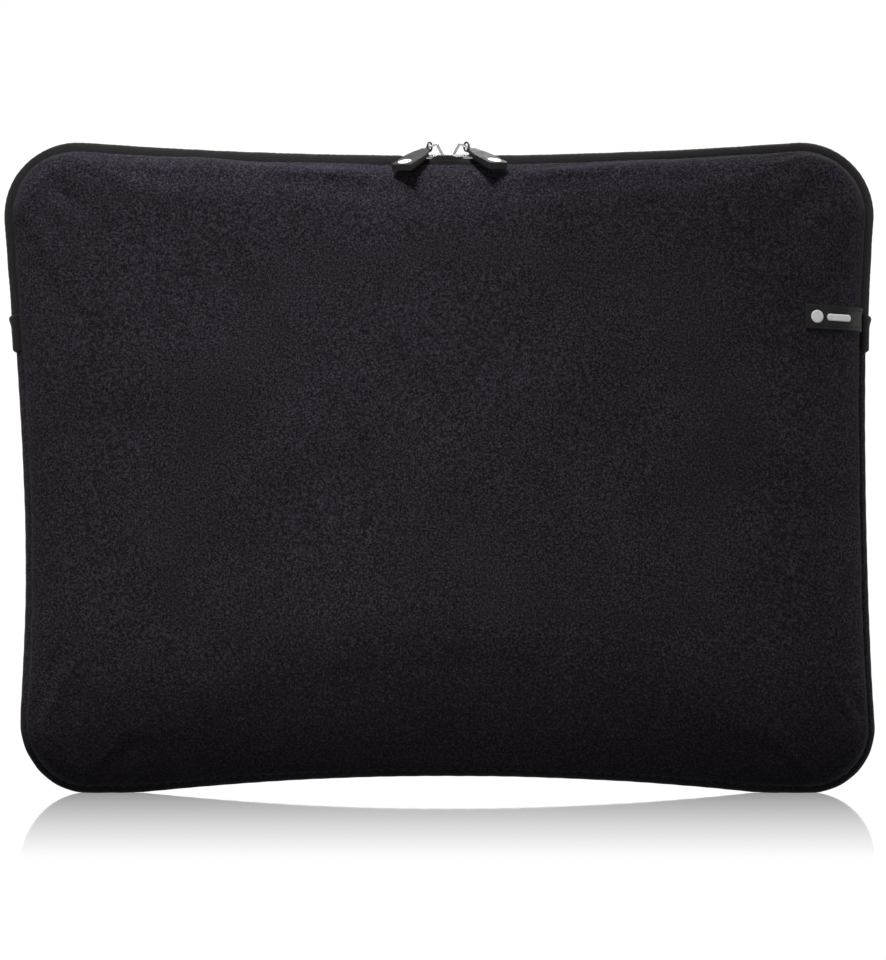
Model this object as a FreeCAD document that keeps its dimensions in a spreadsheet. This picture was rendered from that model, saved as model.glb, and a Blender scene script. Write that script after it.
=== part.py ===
"""Zipped neoprene laptop sleeve, modelled upright on its long bottom edge.

X runs along the width, Y through the thickness (the front face looks along -Y) and Z up.
The origin is the middle of the footprint, on the surface that the sleeve stands on.

Every wall follows one outline in the XZ plane: a shallow arc sags along the top, each side draws in,
and the bottom arches up between two short flats that the sleeve stands on.  A piece that lies deeper
in the wall takes the same outline at a larger inset, so all arcs keep their centres.
"""

import FreeCAD, Part
import math
import os
import Sketcher

SIZES = [
    # outline, measured on the outermost crest of the wall (inset 0)
    ("top_mid_height", 257.8, "height of the zip crest at mid width"),
    ("top_arc", 2000, "radius of the sagging top edge"),
    ("side_mid_reach", 171.3, "half width where the sides draw in most"),
    ("side_mid_height", 122, "height of that point"),
    ("side_arc", 1450, "radius of the drawn-in sides"),
    ("bottom_mid_height", 6.8, "lift of the bottom edge at mid width"),
    ("bottom_arc", 1190, "radius of the arched bottom edge"),
    ("top_corner", 29, "radius of the two top corners"),
    ("bottom_corner", 27, "radius of the two bottom corners"),
    # wall layers
    ("seam_half", 6.5, "half width of the band between the two panels"),
    ("panel_inset", 3.1, "depth of the seam valley below the crest"),
    ("panel_wall", 4, "neoprene thickness"),
    ("panel_depth", 11, "depth of one panel's dish"),
    ("panel_roll", 10.9, "outer radius of the panel's rolled edge"),
    ("layer_gap", 0.05, "air between neoprene and lining"),
    ("lining_wall", 1.2, "plush lining thickness"),
    ("gusset_wall", 3.6, "gusset thickness"),
    ("gusset_round", 2, "rounding of the gusset's outer edges"),
    ("binding_start", 3.65, "inset where the inner trim starts"),
    ("binding_end", 8, "inset where the seam binding ends"),
    ("binding_wide", 1.3, "width of the bound seam allowance"),
    # zip
    ("zip_end_height", 190, "height where the zip meets the gusset"),
    ("tape_inset", 0.3, "depth of the zip tape below the crest"),
    ("tape_wall", 0.8, "zip tape thickness"),
    ("tape_inner", 0.1, "distance of the tape's inner edge from the zip's middle"),
    ("tape_outer", 5.05, "distance of the tape's shoulder from the zip's middle"),
    ("tape_step", 0.5, "width of the step that takes the tape down to the seam"),
    ("tape_seam_inset", 2.6, "depth of the tape's sewn edge below the crest"),
    ("coil_half", 3, "half width of the closed coil chain"),
    ("coil_top", 1.15, "inset of the coil's crest, under the tapes"),
    ("coil_bottom", 3.3, "inset of the coil's inner side"),
    ("touch_gap", 0.02, "running gap between parts that touch"),
    ("parting_half", 8.2, "half length of the stretch where the coils part"),
    ("parting_ramp", 3, "length over which they come together"),
    ("parting_wide", 1.5, "how far each coil stands off the middle where they part"),
    ("meet_offset", 3, "sideways offset of the point where the sliders meet"),
    ("tab_low", 178.5, "lower end of the zip end tabs"),
    ("tab_high", 194.5, "upper end of the zip end tabs"),
    ("tab_wall", 1.2, "zip end tab thickness"),
    ("tab_round", 0.8, "rounding of the zip end tab's outer edges"),
    # sliders
    ("slider_long", 11, "slider length along the zip"),
    ("nose_gap", 2.2, "gap between the two slider noses"),
    ("nose_half", 4.4, "half width at the slider's nose"),
    ("tail_half", 3.9, "half width at the slider's tail"),
    ("nose_cut", 1, "bevel at the nose corners"),
    ("plate_wall", 1.1, "crown and base plate thickness"),
    ("crown_bottom", 0.1, "height of the crown's underside above the crest"),
    ("crown_slope", 1.4, "width of the crown's sloping sides"),
    ("crown_rim", 0.25, "height of the crown's edge under the slope"),
    ("flange_top", 1.3, "depth of the top of the base's flanges below the crest"),
    ("flange_wall", 0.7, "flange thickness"),
    ("base_top", 3.8, "depth of the base plate's top below the crest"),
    ("post_half", 1.2, "half width of the wedge between the plates"),
    ("post_long", 4.7, "length of the wedge"),
    ("bail_wide", 1.3, "width of the bail that carries the pull"),
    ("bail_wall", 1, "thickness of the bail"),
    ("bail_top", 6, "height of the bail's apex above the crest"),
    ("bail_tail", 3.7, "height of the bail above the tail"),
    ("bail_round", 0.25, "rounding of the bail's long edges"),
    ("bar_height", 4.58, "height of the pull's pivot, inside the bail's slope, above the crest"),
    ("bar_offset", -0.9, "distance of the pull's pivot from mid slider, towards the nose"),
    # pulls
    ("ring_radius", 1.8, "centre line radius of the pull's ring"),
    ("wire_radius", 0.4, "wire radius of the ring"),
    ("shank_radius", 0.5, "radius of the shank moulded into the grip"),
    ("shank_start", 1.6, "distance of the shank's start from the pivot"),
    ("shank_drop", 0.3, "how far the shank lies below the pivot"),
    ("shank_end", 11, "distance of the shank's end from the pivot"),
    ("grip_start", 3, "distance of the grip's neck from the pivot"),
    ("neck_end", 5, "distance from the pivot where the grip starts to widen"),
    ("shoulder", 12.6, "distance of the grip's shoulders from the pivot"),
    ("grip_end", 24.3, "distance of the grip's end from the pivot"),
    ("neck_half", 2.2, "half width of the grip's neck"),
    ("grip_half", 4.7, "half width of the grip"),
    ("grip_corner", 0.8, "bevel at the grip's end corners"),
    ("grip_wall", 2.8, "grip thickness"),
    ("grip_hang", 0.8, "how far the grip's middle plane lies below the pivot"),
    ("relief_start", 9, "distance from the pivot at which the underside starts to thicken"),
    ("relief_end", 33, "distance at which that slope would pass 1 mm under the grip"),
    ("neck_wall", 1.8, "grip thickness at the neck"),
    ("dot_at", 20.7, "distance of the inlaid dot from the pivot"),
    ("dot_radius", 2.75, "radius of the inlaid dot"),
    ("dot_sink", 0.4, "depth of the dot's recess"),
    ("dot_wall", 0.5, "dot thickness"),
    ("left_yaw", 31, "left pull: angle from straight forward, outwards"),
    ("right_yaw", 34.8, "right pull: angle from straight forward, outwards"),
    ("left_droop", 22.5, "left pull: angle below level"),
    ("right_droop", 20.6, "right pull: angle below level"),
    ("pull_roll", 3, "tilt of the resting pulls towards the front"),
    # side label
    ("label_wall", 0.9, "label thickness"),
    ("label_from", 146.5, "distance of the label's free end from mid width"),
    ("label_mid_height", 192.8, "height of the label's centre line"),
    ("label_tall", 9.8, "label height"),
    ("label_tilt", 2.6, "tilt that squares the label to the sloping side"),
    ("mark_wall", 0.3, "height of the raised mark"),
    ("mark_half", 1.3, "half height of the mark's bar"),
    ("mark_dot", 2.6, "radius of the mark's dot"),
    ("mark_dot_at", 5.2, "distance of the mark's dot from the label's free end"),
    ("mark_from", 9.5, "distance of the mark's bar from the label's free end"),
    ("mark_long", 11, "length of the mark's bar"),
]

# Clockwise round the outline, seen from the front: edges are arcs that bow inwards, or short flats.
OUTLINE = ["left", "top_left", "top", "top_right", "right", "bottom_right",
           "flat_right", "bottom", "flat_left", "bottom_left"]
ZIP_RUN = ["left", "top_left", "top", "top_right", "right"]
GUSSET_RUN = ["right", "bottom_right", "flat_right", "bottom", "flat_left", "bottom_left", "left"]
CORNERS = ("top_left", "top_right", "bottom_right", "bottom_left")
FLATS = ("flat_right", "flat_left")
KINKS = ({"flat_right", "bottom"}, {"bottom", "flat_left"})
ZIP_ENDS = ("zip_end_height", "zip_end_height")
# Rules for the centres of the arcs that bow inwards: across, then up.
CENTRE_RULES = {
    "top": ("0", "top_mid_height + top_arc"),
    "bottom": ("0", "bottom_mid_height - bottom_arc"),
    "right": ("side_mid_reach + side_arc", "side_mid_height"),
    "left": ("- side_mid_reach - side_arc", "side_mid_height"),
}
START, END, CENTRE = 1, 2, 3  # Sketcher's names for the points of an edge
ORIGIN = (-1, 1)
MATCH = 1e-4

doc = FreeCAD.newDocument("LaptopSleeve")
sheet = doc.addObject("Spreadsheet::Sheet", "Sizes")
for row, (alias, value, note) in enumerate(SIZES, start=1):
    sheet.set(f"A{row}", note)
    sheet.set(f"B{row}", str(value))
    sheet.setAlias(f"B{row}", alias)
doc.recompute()


def size(alias):
    """The value of one cell of the sheet."""
    return float(getattr(sheet, alias))


def is_number(word):
    return word.replace(".", "", 1).isdigit()


def split_rule(rule):
    """Splits a rule such as '- nose_half / 2 + 1.5' into (sign, alias or number, divisor) terms."""
    terms, sign = [], 1
    words = rule.split()
    while words:
        word = words.pop(0)
        if word in "+-":
            sign = 1 if word == "+" else -1
            continue
        divisor = 1.0
        if words[:1] == ["/"]:
            divisor = float(words[1])
            words = words[2:]
        terms.append((sign, word, divisor))
        sign = 1
    return terms


def value_of(rule):
    """The value of a rule."""
    return sum(
        sign * (float(word) if is_number(word) else size(word)) / divisor
        for sign, word, divisor in split_rule(rule)
    )


def cells_of(rule, factor=1):
    """The same rule, or its negative, written as an expression over the sheet's cells."""
    words = []
    for sign, word, divisor in split_rule(rule):
        shown = word if is_number(word) else f"Sizes.{word}"
        words.append(f"{'+' if sign * factor > 0 else '-'} {shown} / {divisor:g}")
    return " ".join(words).lstrip("+ ")


# ---------------------------------------------------------------- outline geometry


def meet(centre_a, radius_a, centre_b, radius_b, towards):
    """The point where two circles cross, on the side nearer to `towards`."""
    across = centre_b - centre_a
    along = (radius_a**2 - radius_b**2 + across.Length**2) / (2 * across.Length)
    rise = math.sqrt(radius_a**2 - along**2)
    unit = FreeCAD.Vector(across).normalize()
    side = FreeCAD.Vector(-unit.y, unit.x, 0)
    both = [centre_a + unit * along + side * rise, centre_a + unit * along - side * rise]
    return min(both, key=lambda point: (point - towards).Length)


def edge_centres():
    """Arc centres in the sketch plane (x across, y up).  An inset changes none of them."""
    found = {
        edge: FreeCAD.Vector(*map(value_of, CENTRE_RULES[edge]), 0)
        for edge in ("top", "bottom")
    }
    for sign, word in ((1, "right"), (-1, "left")):
        side = FreeCAD.Vector(*map(value_of, CENTRE_RULES[word]), 0)
        found[word] = side
        top_corner, low_corner = size("top_corner"), size("bottom_corner")
        near_top = FreeCAD.Vector(sign * size("side_mid_reach"), size("top_mid_height"), 0)
        found[f"top_{word}"] = meet(
            found["top"], size("top_arc") + top_corner, side, size("side_arc") + top_corner, near_top)
        reach = math.sqrt((size("side_arc") + low_corner) ** 2 - (size("side_mid_height") - low_corner) ** 2)
        found[f"bottom_{word}"] = FreeCAD.Vector(side.x - sign * reach, low_corner, 0)
    return found


CENTRES = edge_centres()


def radius_alias(edge):
    """The cell that holds an arc's radius at the crest."""
    if edge in CORNERS:
        return "top_corner" if edge.startswith("top") else "bottom_corner"
    return {"top": "top_arc", "bottom": "bottom_arc"}.get(edge, "side_arc")


def edge_radius(edge, inset):
    """Going inwards, corners tighten and the inward-bowed edges open."""
    return size(radius_alias(edge)) + (-inset if edge in CORNERS else inset)


def joint_point(edge, following, inset):
    """Where two neighbouring edges of the outline meet."""
    if edge in FLATS or following in FLATS:
        flat, other = (edge, following) if edge in FLATS else (following, edge)
        if other in CORNERS:
            return FreeCAD.Vector(CENTRES[other].x, inset, 0)
        sign = 1 if flat == "flat_right" else -1
        drop = inset - CENTRES["bottom"].y
        return FreeCAD.Vector(sign * math.sqrt(edge_radius("bottom", inset) ** 2 - drop**2), inset, 0)
    corner, arc = (edge, following) if edge in CORNERS else (following, edge)
    outwards = (CENTRES[arc] - CENTRES[corner]).normalize()
    return CENTRES[corner] + outwards * edge_radius(corner, inset)


def side_point(edge, height, inset):
    """The point of a side edge at a given height."""
    centre = CENTRES[edge]
    reach = math.sqrt(edge_radius(edge, inset) ** 2 - (height - centre.y) ** 2)
    return FreeCAD.Vector(centre.x - math.copysign(reach, centre.x), height, 0)


# ---------------------------------------------------------------- sketches


def new_sketch(body, name, plane, offset="0", sign=1):
    """A sketch on one of the body's own origin planes, moved along the plane's normal."""
    sketch = body.newObject("Sketcher::SketchObject", name)
    support = next(f for f in body.Origin.OriginFeatures if f.Role == plane)
    sketch.AttachmentSupport = [(support, "")]
    sketch.MapMode = "FlatFace"
    if offset != "0":
        sketch.setExpression("AttachmentOffset.Base.z", cells_of(offset, sign))
    return sketch


def hold(sketch, name, expression, *constraint):
    """Adds a driving constraint and binds it to the sheet."""
    index = sketch.addConstraint(Sketcher.Constraint(*constraint))
    sketch.renameConstraint(index, name)
    sketch.setExpression(f"Constraints.{name}", expression)


def hold_from_origin(sketch, name, kind, rule, value, point):
    """Holds one coordinate of a point; Sketcher wants every distance positive."""
    if abs(value) < MATCH:
        axis = -1 if kind == "DistanceY" else -2
        sketch.addConstraint(Sketcher.Constraint("PointOnObject", *point, axis))
    elif value > 0:
        hold(sketch, name, cells_of(rule), kind, *ORIGIN, *point, value)
    else:
        hold(sketch, name, cells_of(rule, -1), kind, *point, *ORIGIN, -value)


def add_arc(sketch, edge, rule, before, after, name):
    """An outline arc between two points, with its radius and its centre held."""
    centre, radius = CENTRES[edge], edge_radius(edge, value_of(rule))
    first, last = (after, before) if edge in CORNERS else (before, after)
    angles = [math.atan2(point.y - centre.y, point.x - centre.x) for point in (first, last)]
    circle = Part.Circle(centre, FreeCAD.Vector(0, 0, 1), radius)
    index = sketch.addGeometry(Part.ArcOfCircle(circle, angles[0], angles[1]), False)
    sign = "-" if edge in CORNERS else "+"
    hold(sketch, f"{name}_radius", f"Sizes.{radius_alias(edge)} {sign} ({cells_of(rule)})",
         "Radius", index, radius)
    if edge not in CORNERS:
        across, up = CENTRE_RULES[edge]
        hold_from_origin(sketch, f"{name}_across", "DistanceX", across, centre.x, (index, CENTRE))
        hold_from_origin(sketch, f"{name}_up", "DistanceY", up, centre.y, (index, CENTRE))
    return index


def add_flat(sketch, rule, before, after, name):
    """One of the two short level edges that the sleeve stands on."""
    index = sketch.addGeometry(Part.LineSegment(before, after), False)
    sketch.addConstraint(Sketcher.Constraint("Horizontal", index))
    hold_from_origin(sketch, f"{name}_up", "DistanceY", rule, value_of(rule), (index, START))
    return index


def add_edges(sketch, edges, points, rule, tag):
    """Neighbouring edges of the outline, each joined to the next."""
    indices = []
    for i, edge in enumerate(edges):
        ends = points[i], points[i + 1]
        add = add_flat if edge in FLATS else add_arc
        given = (sketch, rule) if edge in FLATS else (sketch, edge, rule)
        indices.append(add(*given, *ends, f"{tag}_{edge}"))
    for i in range(len(edges) - 1):
        join(sketch, edges[i], indices[i], edges[i + 1], indices[i + 1])
    return indices


def run_ends(edge):
    """Which end of an edge a clockwise run enters by, and which it leaves by."""
    return (END, START) if edge in CORNERS else (START, END)


def join(sketch, edge, index, following, next_index):
    """Joins two edges, smoothly except where a flat meets the arched bottom."""
    kind = "Coincident" if {edge, following} in KINKS else "Tangent"
    sketch.addConstraint(
        Sketcher.Constraint(kind, index, run_ends(edge)[1], next_index, run_ends(following)[0]))


def add_loop(sketch, rule):
    """The whole closed outline at an inset."""
    inset = value_of(rule)
    points = [joint_point(OUTLINE[i - 1], OUTLINE[i], inset) for i in range(len(OUTLINE))]
    indices = add_edges(sketch, OUTLINE, points + points[:1], rule, "loop")
    join(sketch, OUTLINE[-1], indices[-1], OUTLINE[0], indices[0])


def add_run(sketch, run, rule, start_height, end_height, tag):
    """An open run of edges that starts and stops on the sides, at the given heights."""
    inset = value_of(rule)
    points = [side_point(run[0], size(start_height), inset)]
    points += [joint_point(a, b, inset) for a, b in zip(run, run[1:])]
    points.append(side_point(run[-1], size(end_height), inset))
    indices = add_edges(sketch, run, points, rule, tag)
    return [
        (indices[0], run_ends(run[0])[0], points[0]),
        (indices[-1], run_ends(run[-1])[1], points[-1]),
    ]


def add_band(sketch, run, outer, inner, start_height, end_height):
    """The area between two insets along a run, closed by level cuts at its ends."""
    outer_ends = add_run(sketch, run, outer, start_height, end_height, "outer")
    inner_ends = add_run(sketch, run, inner, start_height, end_height, "inner")
    for name, a, b in zip((start_height, end_height), outer_ends, inner_ends):
        cut = sketch.addGeometry(Part.LineSegment(a[2], b[2]), False)
        sketch.addConstraint(Sketcher.Constraint("Coincident", cut, START, a[0], a[1]))
        sketch.addConstraint(Sketcher.Constraint("Coincident", cut, END, b[0], b[1]))
        sketch.addConstraint(Sketcher.Constraint("Horizontal", cut))
        hold_from_origin(sketch, f"cut_{cut}_up", "DistanceY", name, size(name), (cut, START))


def add_polygon(sketch, corners):
    """A closed polygon; every corner is a pair of rules."""
    places = [FreeCAD.Vector(value_of(x), value_of(y), 0) for x, y in corners]
    edges = [
        sketch.addGeometry(Part.LineSegment(places[i], places[(i + 1) % len(places)]), False)
        for i in range(len(places))
    ]
    for i, (x, y) in enumerate(corners):
        corner = (edges[i], START)
        sketch.addConstraint(Sketcher.Constraint("Coincident", edges[i - 1], END, *corner))
        hold_from_origin(sketch, f"x{i}", "DistanceX", x, places[i].x, corner)
        hold_from_origin(sketch, f"y{i}", "DistanceY", y, places[i].y, corner)


def add_circle(sketch, across, radius):
    """A circle centred on the sketch's horizontal axis."""
    centre = FreeCAD.Vector(size(across), 0, 0)
    circle = Part.Circle(centre, FreeCAD.Vector(0, 0, 1), size(radius))
    index = sketch.addGeometry(circle, False)
    hold(sketch, "radius", cells_of(radius), "Radius", index, size(radius))
    hold_from_origin(sketch, "across", "DistanceX", across, centre.x, (index, CENTRE))
    hold_from_origin(sketch, "up", "DistanceY", "0", 0, (index, CENTRE))


# ---------------------------------------------------------------- features


def new_body(name):
    body = doc.addObject("PartDesign::Body", name)
    body.Label = name
    return body


def extrude(kind, body, sketch, name, length, reverse, middle):
    """A pad or a pocket of a sketch, with its length bound to the sheet."""
    feature = body.newObject(kind, name)
    feature.Profile = sketch
    feature.setExpression("Length", cells_of(length))
    feature.Reversed = reverse
    feature.SideType = "Symmetric" if middle else "One side"
    doc.recompute()


def pad(body, sketch, name, length, reverse=False, middle=False):
    """Adds a sketch's area along its normal."""
    extrude("PartDesign::Pad", body, sketch, name, length, reverse, middle)


def pocket(body, sketch, name, length, reverse=False, middle=False):
    """Cuts a sketch's area out of the body, and checks that something was cut."""
    before = body.Shape.Volume
    extrude("PartDesign::Pocket", body, sketch, name, length, reverse, middle)
    if body.Shape.Volume > before - MATCH:
        raise RuntimeError(f"{name} cut nothing")


def fillet(body, name, radius, wanted):
    """Rounds the edges of the body's present shape for which `wanted` is true."""
    base = body.Tip
    names = [f"Edge{i}" for i, edge in enumerate(base.Shape.Edges, start=1) if wanted(edge)]
    if not names:
        raise RuntimeError(f"{name} found no edges")
    feature = body.newObject("PartDesign::Fillet", name)
    feature.Base = (base, names)
    feature.setExpression("Radius", cells_of(radius))
    doc.recompute()


def lies_at(edge, axis, value):
    """True if both ends and the middle of an edge have that coordinate."""
    points = [vertex.Point for vertex in edge.Vertexes]
    points.append(edge.valueAt((edge.FirstParameter + edge.LastParameter) / 2))
    return all(abs(point[axis] - value) < MATCH for point in points)


def combine(kind, label, base, tool):
    """A boolean of two objects."""
    result = doc.addObject(kind, label)
    result.Base, result.Tool, result.Label = base, tool, label
    return result


# ---------------------------------------------------------------- soft walls


def rolled_block(name, facing, inset, depth, roll):
    """A block with the outline's shape, whose far rim is rolled over.  facing is 1 for the front."""
    body = new_body(name)
    sketch = new_sketch(body, f"{name}_outline", "XZ_Plane", "seam_half", facing)
    add_loop(sketch, inset)
    pad(body, sketch, f"{name}_depth", depth, reverse=facing < 0)
    far = -facing * (size("seam_half") + value_of(depth))
    fillet(body, f"{name}_roll", roll, lambda edge: lies_at(edge, 1, far))
    return body


def layer(label, facing, outer, inner):
    """The dish between two rolled blocks.  Each is given by its depth under the panel's surface."""
    blocks = [
        rolled_block(f"{label}_{word}", facing, f"panel_inset {under}",
                     f"panel_depth {flip(under)}", f"panel_roll {flip(under)}")
        for word, under in (("outer", outer), ("inner", inner))
    ]
    return combine("Part::Cut", label, *blocks)


def flip(terms):
    """Changes the sign of every term of a rule."""
    return " ".join({"+": "-", "-": "+"}.get(word, word) for word in terms.split())


def band(label, run, outer, inner, ends, wide, start=None, facing=1):
    """A strip along the outline; centred on the middle plane unless it starts off it."""
    body = new_body(label)
    sketch = new_sketch(body, f"{label}_section", "XZ_Plane", start or "0", facing)
    add_band(sketch, run, outer, inner, *ends)
    pad(body, sketch, f"{label}_strip", wide, reverse=facing < 0, middle=start is None)
    return body


def outer_rim(edge, inset):
    """True for an edge that runs along the outline at an inset, on either face of the band."""
    half = size("seam_half")
    if not (lies_at(edge, 1, half) or lies_at(edge, 1, -half)):
        return False
    if isinstance(edge.Curve, Part.Line):
        return lies_at(edge, 2, inset)
    radii = [edge_radius(name, inset) for name in OUTLINE if name not in FLATS]
    return any(abs(edge.Curve.Radius - radius) < MATCH for radius in radii)


def bottom_gusset():
    """The U-shaped wall along the sides and the bottom, from one end of the zip to the other."""
    body = band("bottom_gusset", GUSSET_RUN, "0", "gusset_wall", ZIP_ENDS, "seam_half + seam_half")
    fillet(body, "gusset_rounding", "gusset_round", lambda edge: outer_rim(edge, 0))


def gusset_lining():
    """Plush strip on the gusset's inner face, between the two seam bindings."""
    band("gusset_lining", GUSSET_RUN, "binding_start", "binding_start + lining_wall", ZIP_ENDS,
         "seam_half + seam_half - binding_wide - binding_wide - 0.8")


def seam_binding(label, facing):
    """Tape folded over the seam allowance, all the way round inside one panel's seam."""
    body = new_body(label)
    for word, inset, add in (("outer", "binding_start", True), ("inner", "binding_end", False)):
        sketch = new_sketch(body, f"{label}_{word}", "XZ_Plane",
                            "seam_half - binding_wide - 0.1", facing)
        add_loop(sketch, inset)
        if add:
            pad(body, sketch, f"{label}_block", "binding_wide", reverse=facing < 0)
        else:
            pocket(body, sketch, f"{label}_opening", "binding_wide", reverse=facing > 0)


# ---------------------------------------------------------------- zip


def part_at_meeting(body, label, facing):
    """Cuts one half of the zip back where the halves part between the sliders."""
    parting = new_sketch(body, f"{label}_parting_shape", "XY_Plane", "top_mid_height")
    side = "-" if facing > 0 else "+"
    add_polygon(parting, [
        ("meet_offset - parting_half", "0"),
        ("meet_offset - parting_half + parting_ramp", f"{side} parting_wide"),
        ("meet_offset + parting_half - parting_ramp", f"{side} parting_wide"),
        ("meet_offset + parting_half", "0"),
    ])
    pocket(body, parting, f"{label}_parting", "coil_half + coil_half")


def zip_tape(label, facing):
    """Woven tape over the coil, stepping down to the seam at its outer edge."""
    body = band(label, ZIP_RUN, "tape_inset", "tape_inset + tape_wall", ZIP_ENDS,
                "tape_outer - tape_inner", "tape_inner", facing)
    for word, outer, wide in (("step", "tape_inset", "tape_step"),
                              ("edge", "tape_seam_inset", "seam_half - tape_outer + tape_step")):
        sketch = new_sketch(body, f"{label}_{word}_section", "XZ_Plane", "tape_outer - tape_step", facing)
        add_band(sketch, ZIP_RUN, outer, "tape_seam_inset + tape_wall", *ZIP_ENDS)
        pad(body, sketch, f"{label}_{word}", wide, reverse=facing < 0)
    part_at_meeting(body, label, facing)


def zip_coil(label, facing):
    """One half of the closed coil chain, under its tape."""
    body = band(label, ZIP_RUN, "coil_top", "coil_bottom", ZIP_ENDS,
                "coil_half - touch_gap", "touch_gap", facing)
    part_at_meeting(body, label, facing)


def zip_end_tab(label, edge):
    """Fabric tab sewn over the zip's end, where it runs into the gusset."""
    heights = ("tab_low", "tab_high") if edge == "left" else ("tab_high", "tab_low")
    body = band(label, [edge], "- tab_wall", "0", heights, "seam_half + seam_half")
    outside = -size("tab_wall")
    fillet(body, f"{label}_rounding", "tab_round", lambda edge: outer_rim(edge, outside))


# ---------------------------------------------------------------- sliders and pulls


def plate_outline():
    """Bevelled nose towards +X, narrower square tail."""
    return [
        ("slider_long / 2", "- nose_half + nose_cut + nose_cut"),
        ("slider_long / 2", "nose_half - nose_cut - nose_cut"),
        ("slider_long / 2 - nose_cut", "nose_half"),
        ("- slider_long / 2", "tail_half"),
        ("- slider_long / 2", "- tail_half"),
        ("slider_long / 2 - nose_cut", "- nose_half"),
    ]


def flange_outline(side):
    """The wall along one long edge of the base; side is '+' or '-'."""
    inwards = flip(side)
    return [
        ("slider_long / 2 - nose_cut", f"{side} nose_half {inwards} flange_wall"),
        ("slider_long / 2 - nose_cut", f"{side} nose_half"),
        ("- slider_long / 2", f"{side} tail_half"),
        ("- slider_long / 2", f"{side} tail_half {inwards} flange_wall"),
    ]


def slope_outline(side):
    """What is cut off the crown along one side, seen from the tail."""
    inwards = flip(side)
    rim = "crown_bottom + crown_rim"
    above = "crown_bottom + plate_wall + 1"
    return [
        (f"{side} nose_half {inwards} crown_slope", "crown_bottom + plate_wall"),
        (f"{side} nose_half", rim),
        (f"{side} nose_half {side} 1", rim),
        (f"{side} nose_half {side} 1", above),
        (f"{side} nose_half {inwards} crown_slope", above),
    ]


def wedge_outline():
    """The wedge that parts the two coils and joins crown and base."""
    return [
        ("slider_long / 2 - 0.3", "0"),
        ("slider_long / 2 - 1.6", "post_half"),
        ("slider_long / 2 - 0.3 - post_long", "0"),
        ("slider_long / 2 - 1.6", "- post_half"),
    ]


def bail_outline():
    """Side view of the bail: steep at the nose, sloping down to the tail."""
    foot = "crown_bottom + plate_wall - 0.3"
    return [
        ("slider_long / 2 - 0.4", foot),
        ("slider_long / 2 - 3.1", "bail_top"),
        ("slider_long / 2 - 4.5", "bail_top"),
        ("- slider_long / 2 + 1.3", "bail_tail"),
        ("- slider_long / 2 + 0.4", "bail_tail - 1"),
        ("- slider_long / 2 + 0.3", foot),
        ("- slider_long / 2 + 0.3 + bail_wall", foot),
        ("- slider_long / 2 + 0.4 + bail_wall", "bail_tail - 1.3"),
        ("- slider_long / 2 + 0.9 + bail_wall", "bail_tail - 0.84"),
        ("slider_long / 2 - 4.5", "bail_top - bail_wall - 0.1"),
        ("slider_long / 2 - 3.7", "bail_top - bail_wall - 0.1"),
        ("slider_long / 2 - 0.5 - bail_wall", foot),
    ]


def is_bail_rim(edge):
    """True for the long edges of the bail, clear of the crown."""
    half = size("bail_wide") / 2
    clear = size("crown_bottom") + size("plate_wall") + 0.2
    beside = lies_at(edge, 1, half) or lies_at(edge, 1, -half)
    return beside and max(vertex.Point.z for vertex in edge.Vertexes) > clear


def slider(label):
    """Die-cast slider in its own frame: nose towards +X, zip crest at Z = 0."""
    body = new_body(label)
    crown = new_sketch(body, f"{label}_crown_outline", "XY_Plane", "crown_bottom")
    add_polygon(crown, plate_outline())
    pad(body, crown, f"{label}_crown", "plate_wall")
    for word, side in (("right", "+"), ("left", "-")):
        slope = new_sketch(body, f"{label}_{word}_slope_outline", "YZ_Plane")
        add_polygon(slope, slope_outline(side))
        pocket(body, slope, f"{label}_{word}_slope", "slider_long + slider_long", middle=True)
    wedge = new_sketch(body, f"{label}_wedge_outline", "XY_Plane", "base_top", -1)
    add_polygon(wedge, wedge_outline())
    pad(body, wedge, f"{label}_wedge", "base_top + crown_bottom")
    base = new_sketch(body, f"{label}_base_outline", "XY_Plane", "base_top", -1)
    add_polygon(base, plate_outline())
    pad(body, base, f"{label}_base", "plate_wall", reverse=True)
    for word, side in (("right", "+"), ("left", "-")):
        flange = new_sketch(body, f"{label}_{word}_flange_outline", "XY_Plane", "base_top", -1)
        add_polygon(flange, flange_outline(side))
        pad(body, flange, f"{label}_{word}_flange", "base_top - flange_top")
    bail = new_sketch(body, f"{label}_bail_outline", "XZ_Plane")
    add_polygon(bail, bail_outline())
    pad(body, bail, f"{label}_bail", "bail_wide", middle=True)
    fillet(body, f"{label}_bail_rounding", "bail_round", is_bail_rim)
    return body


def slider_place(centre_x, turned):
    """A slider's placement on the zip's crest."""
    height = CENTRES["top"].y - math.sqrt(size("top_arc") ** 2 - centre_x**2)
    turn = FreeCAD.Rotation(FreeCAD.Vector(0, 0, 1), 180 if turned else 0)
    return FreeCAD.Placement(FreeCAD.Vector(centre_x, 0, height), turn)


def pull_place(on_slider, outwards, yaw, droop):
    """A pull's frame: X along the grip, Z out of its upper face, pivot at the origin."""
    yaw, droop = math.radians(yaw), math.radians(droop)
    along = FreeCAD.Vector(
        outwards * math.sin(yaw) * math.cos(droop), -math.cos(yaw) * math.cos(droop), -math.sin(droop))
    across = FreeCAD.Vector(0, 0, 1).cross(along).normalize()
    level = FreeCAD.Rotation(along, across, along.cross(across), "XZY")
    roll = FreeCAD.Rotation(FreeCAD.Vector(1, 0, 0), outwards * size("pull_roll"))
    pivot = on_slider.multVec(FreeCAD.Vector(size("bar_offset"), 0, size("bar_height")))
    return FreeCAD.Placement(pivot, level.multiply(roll))


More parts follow.
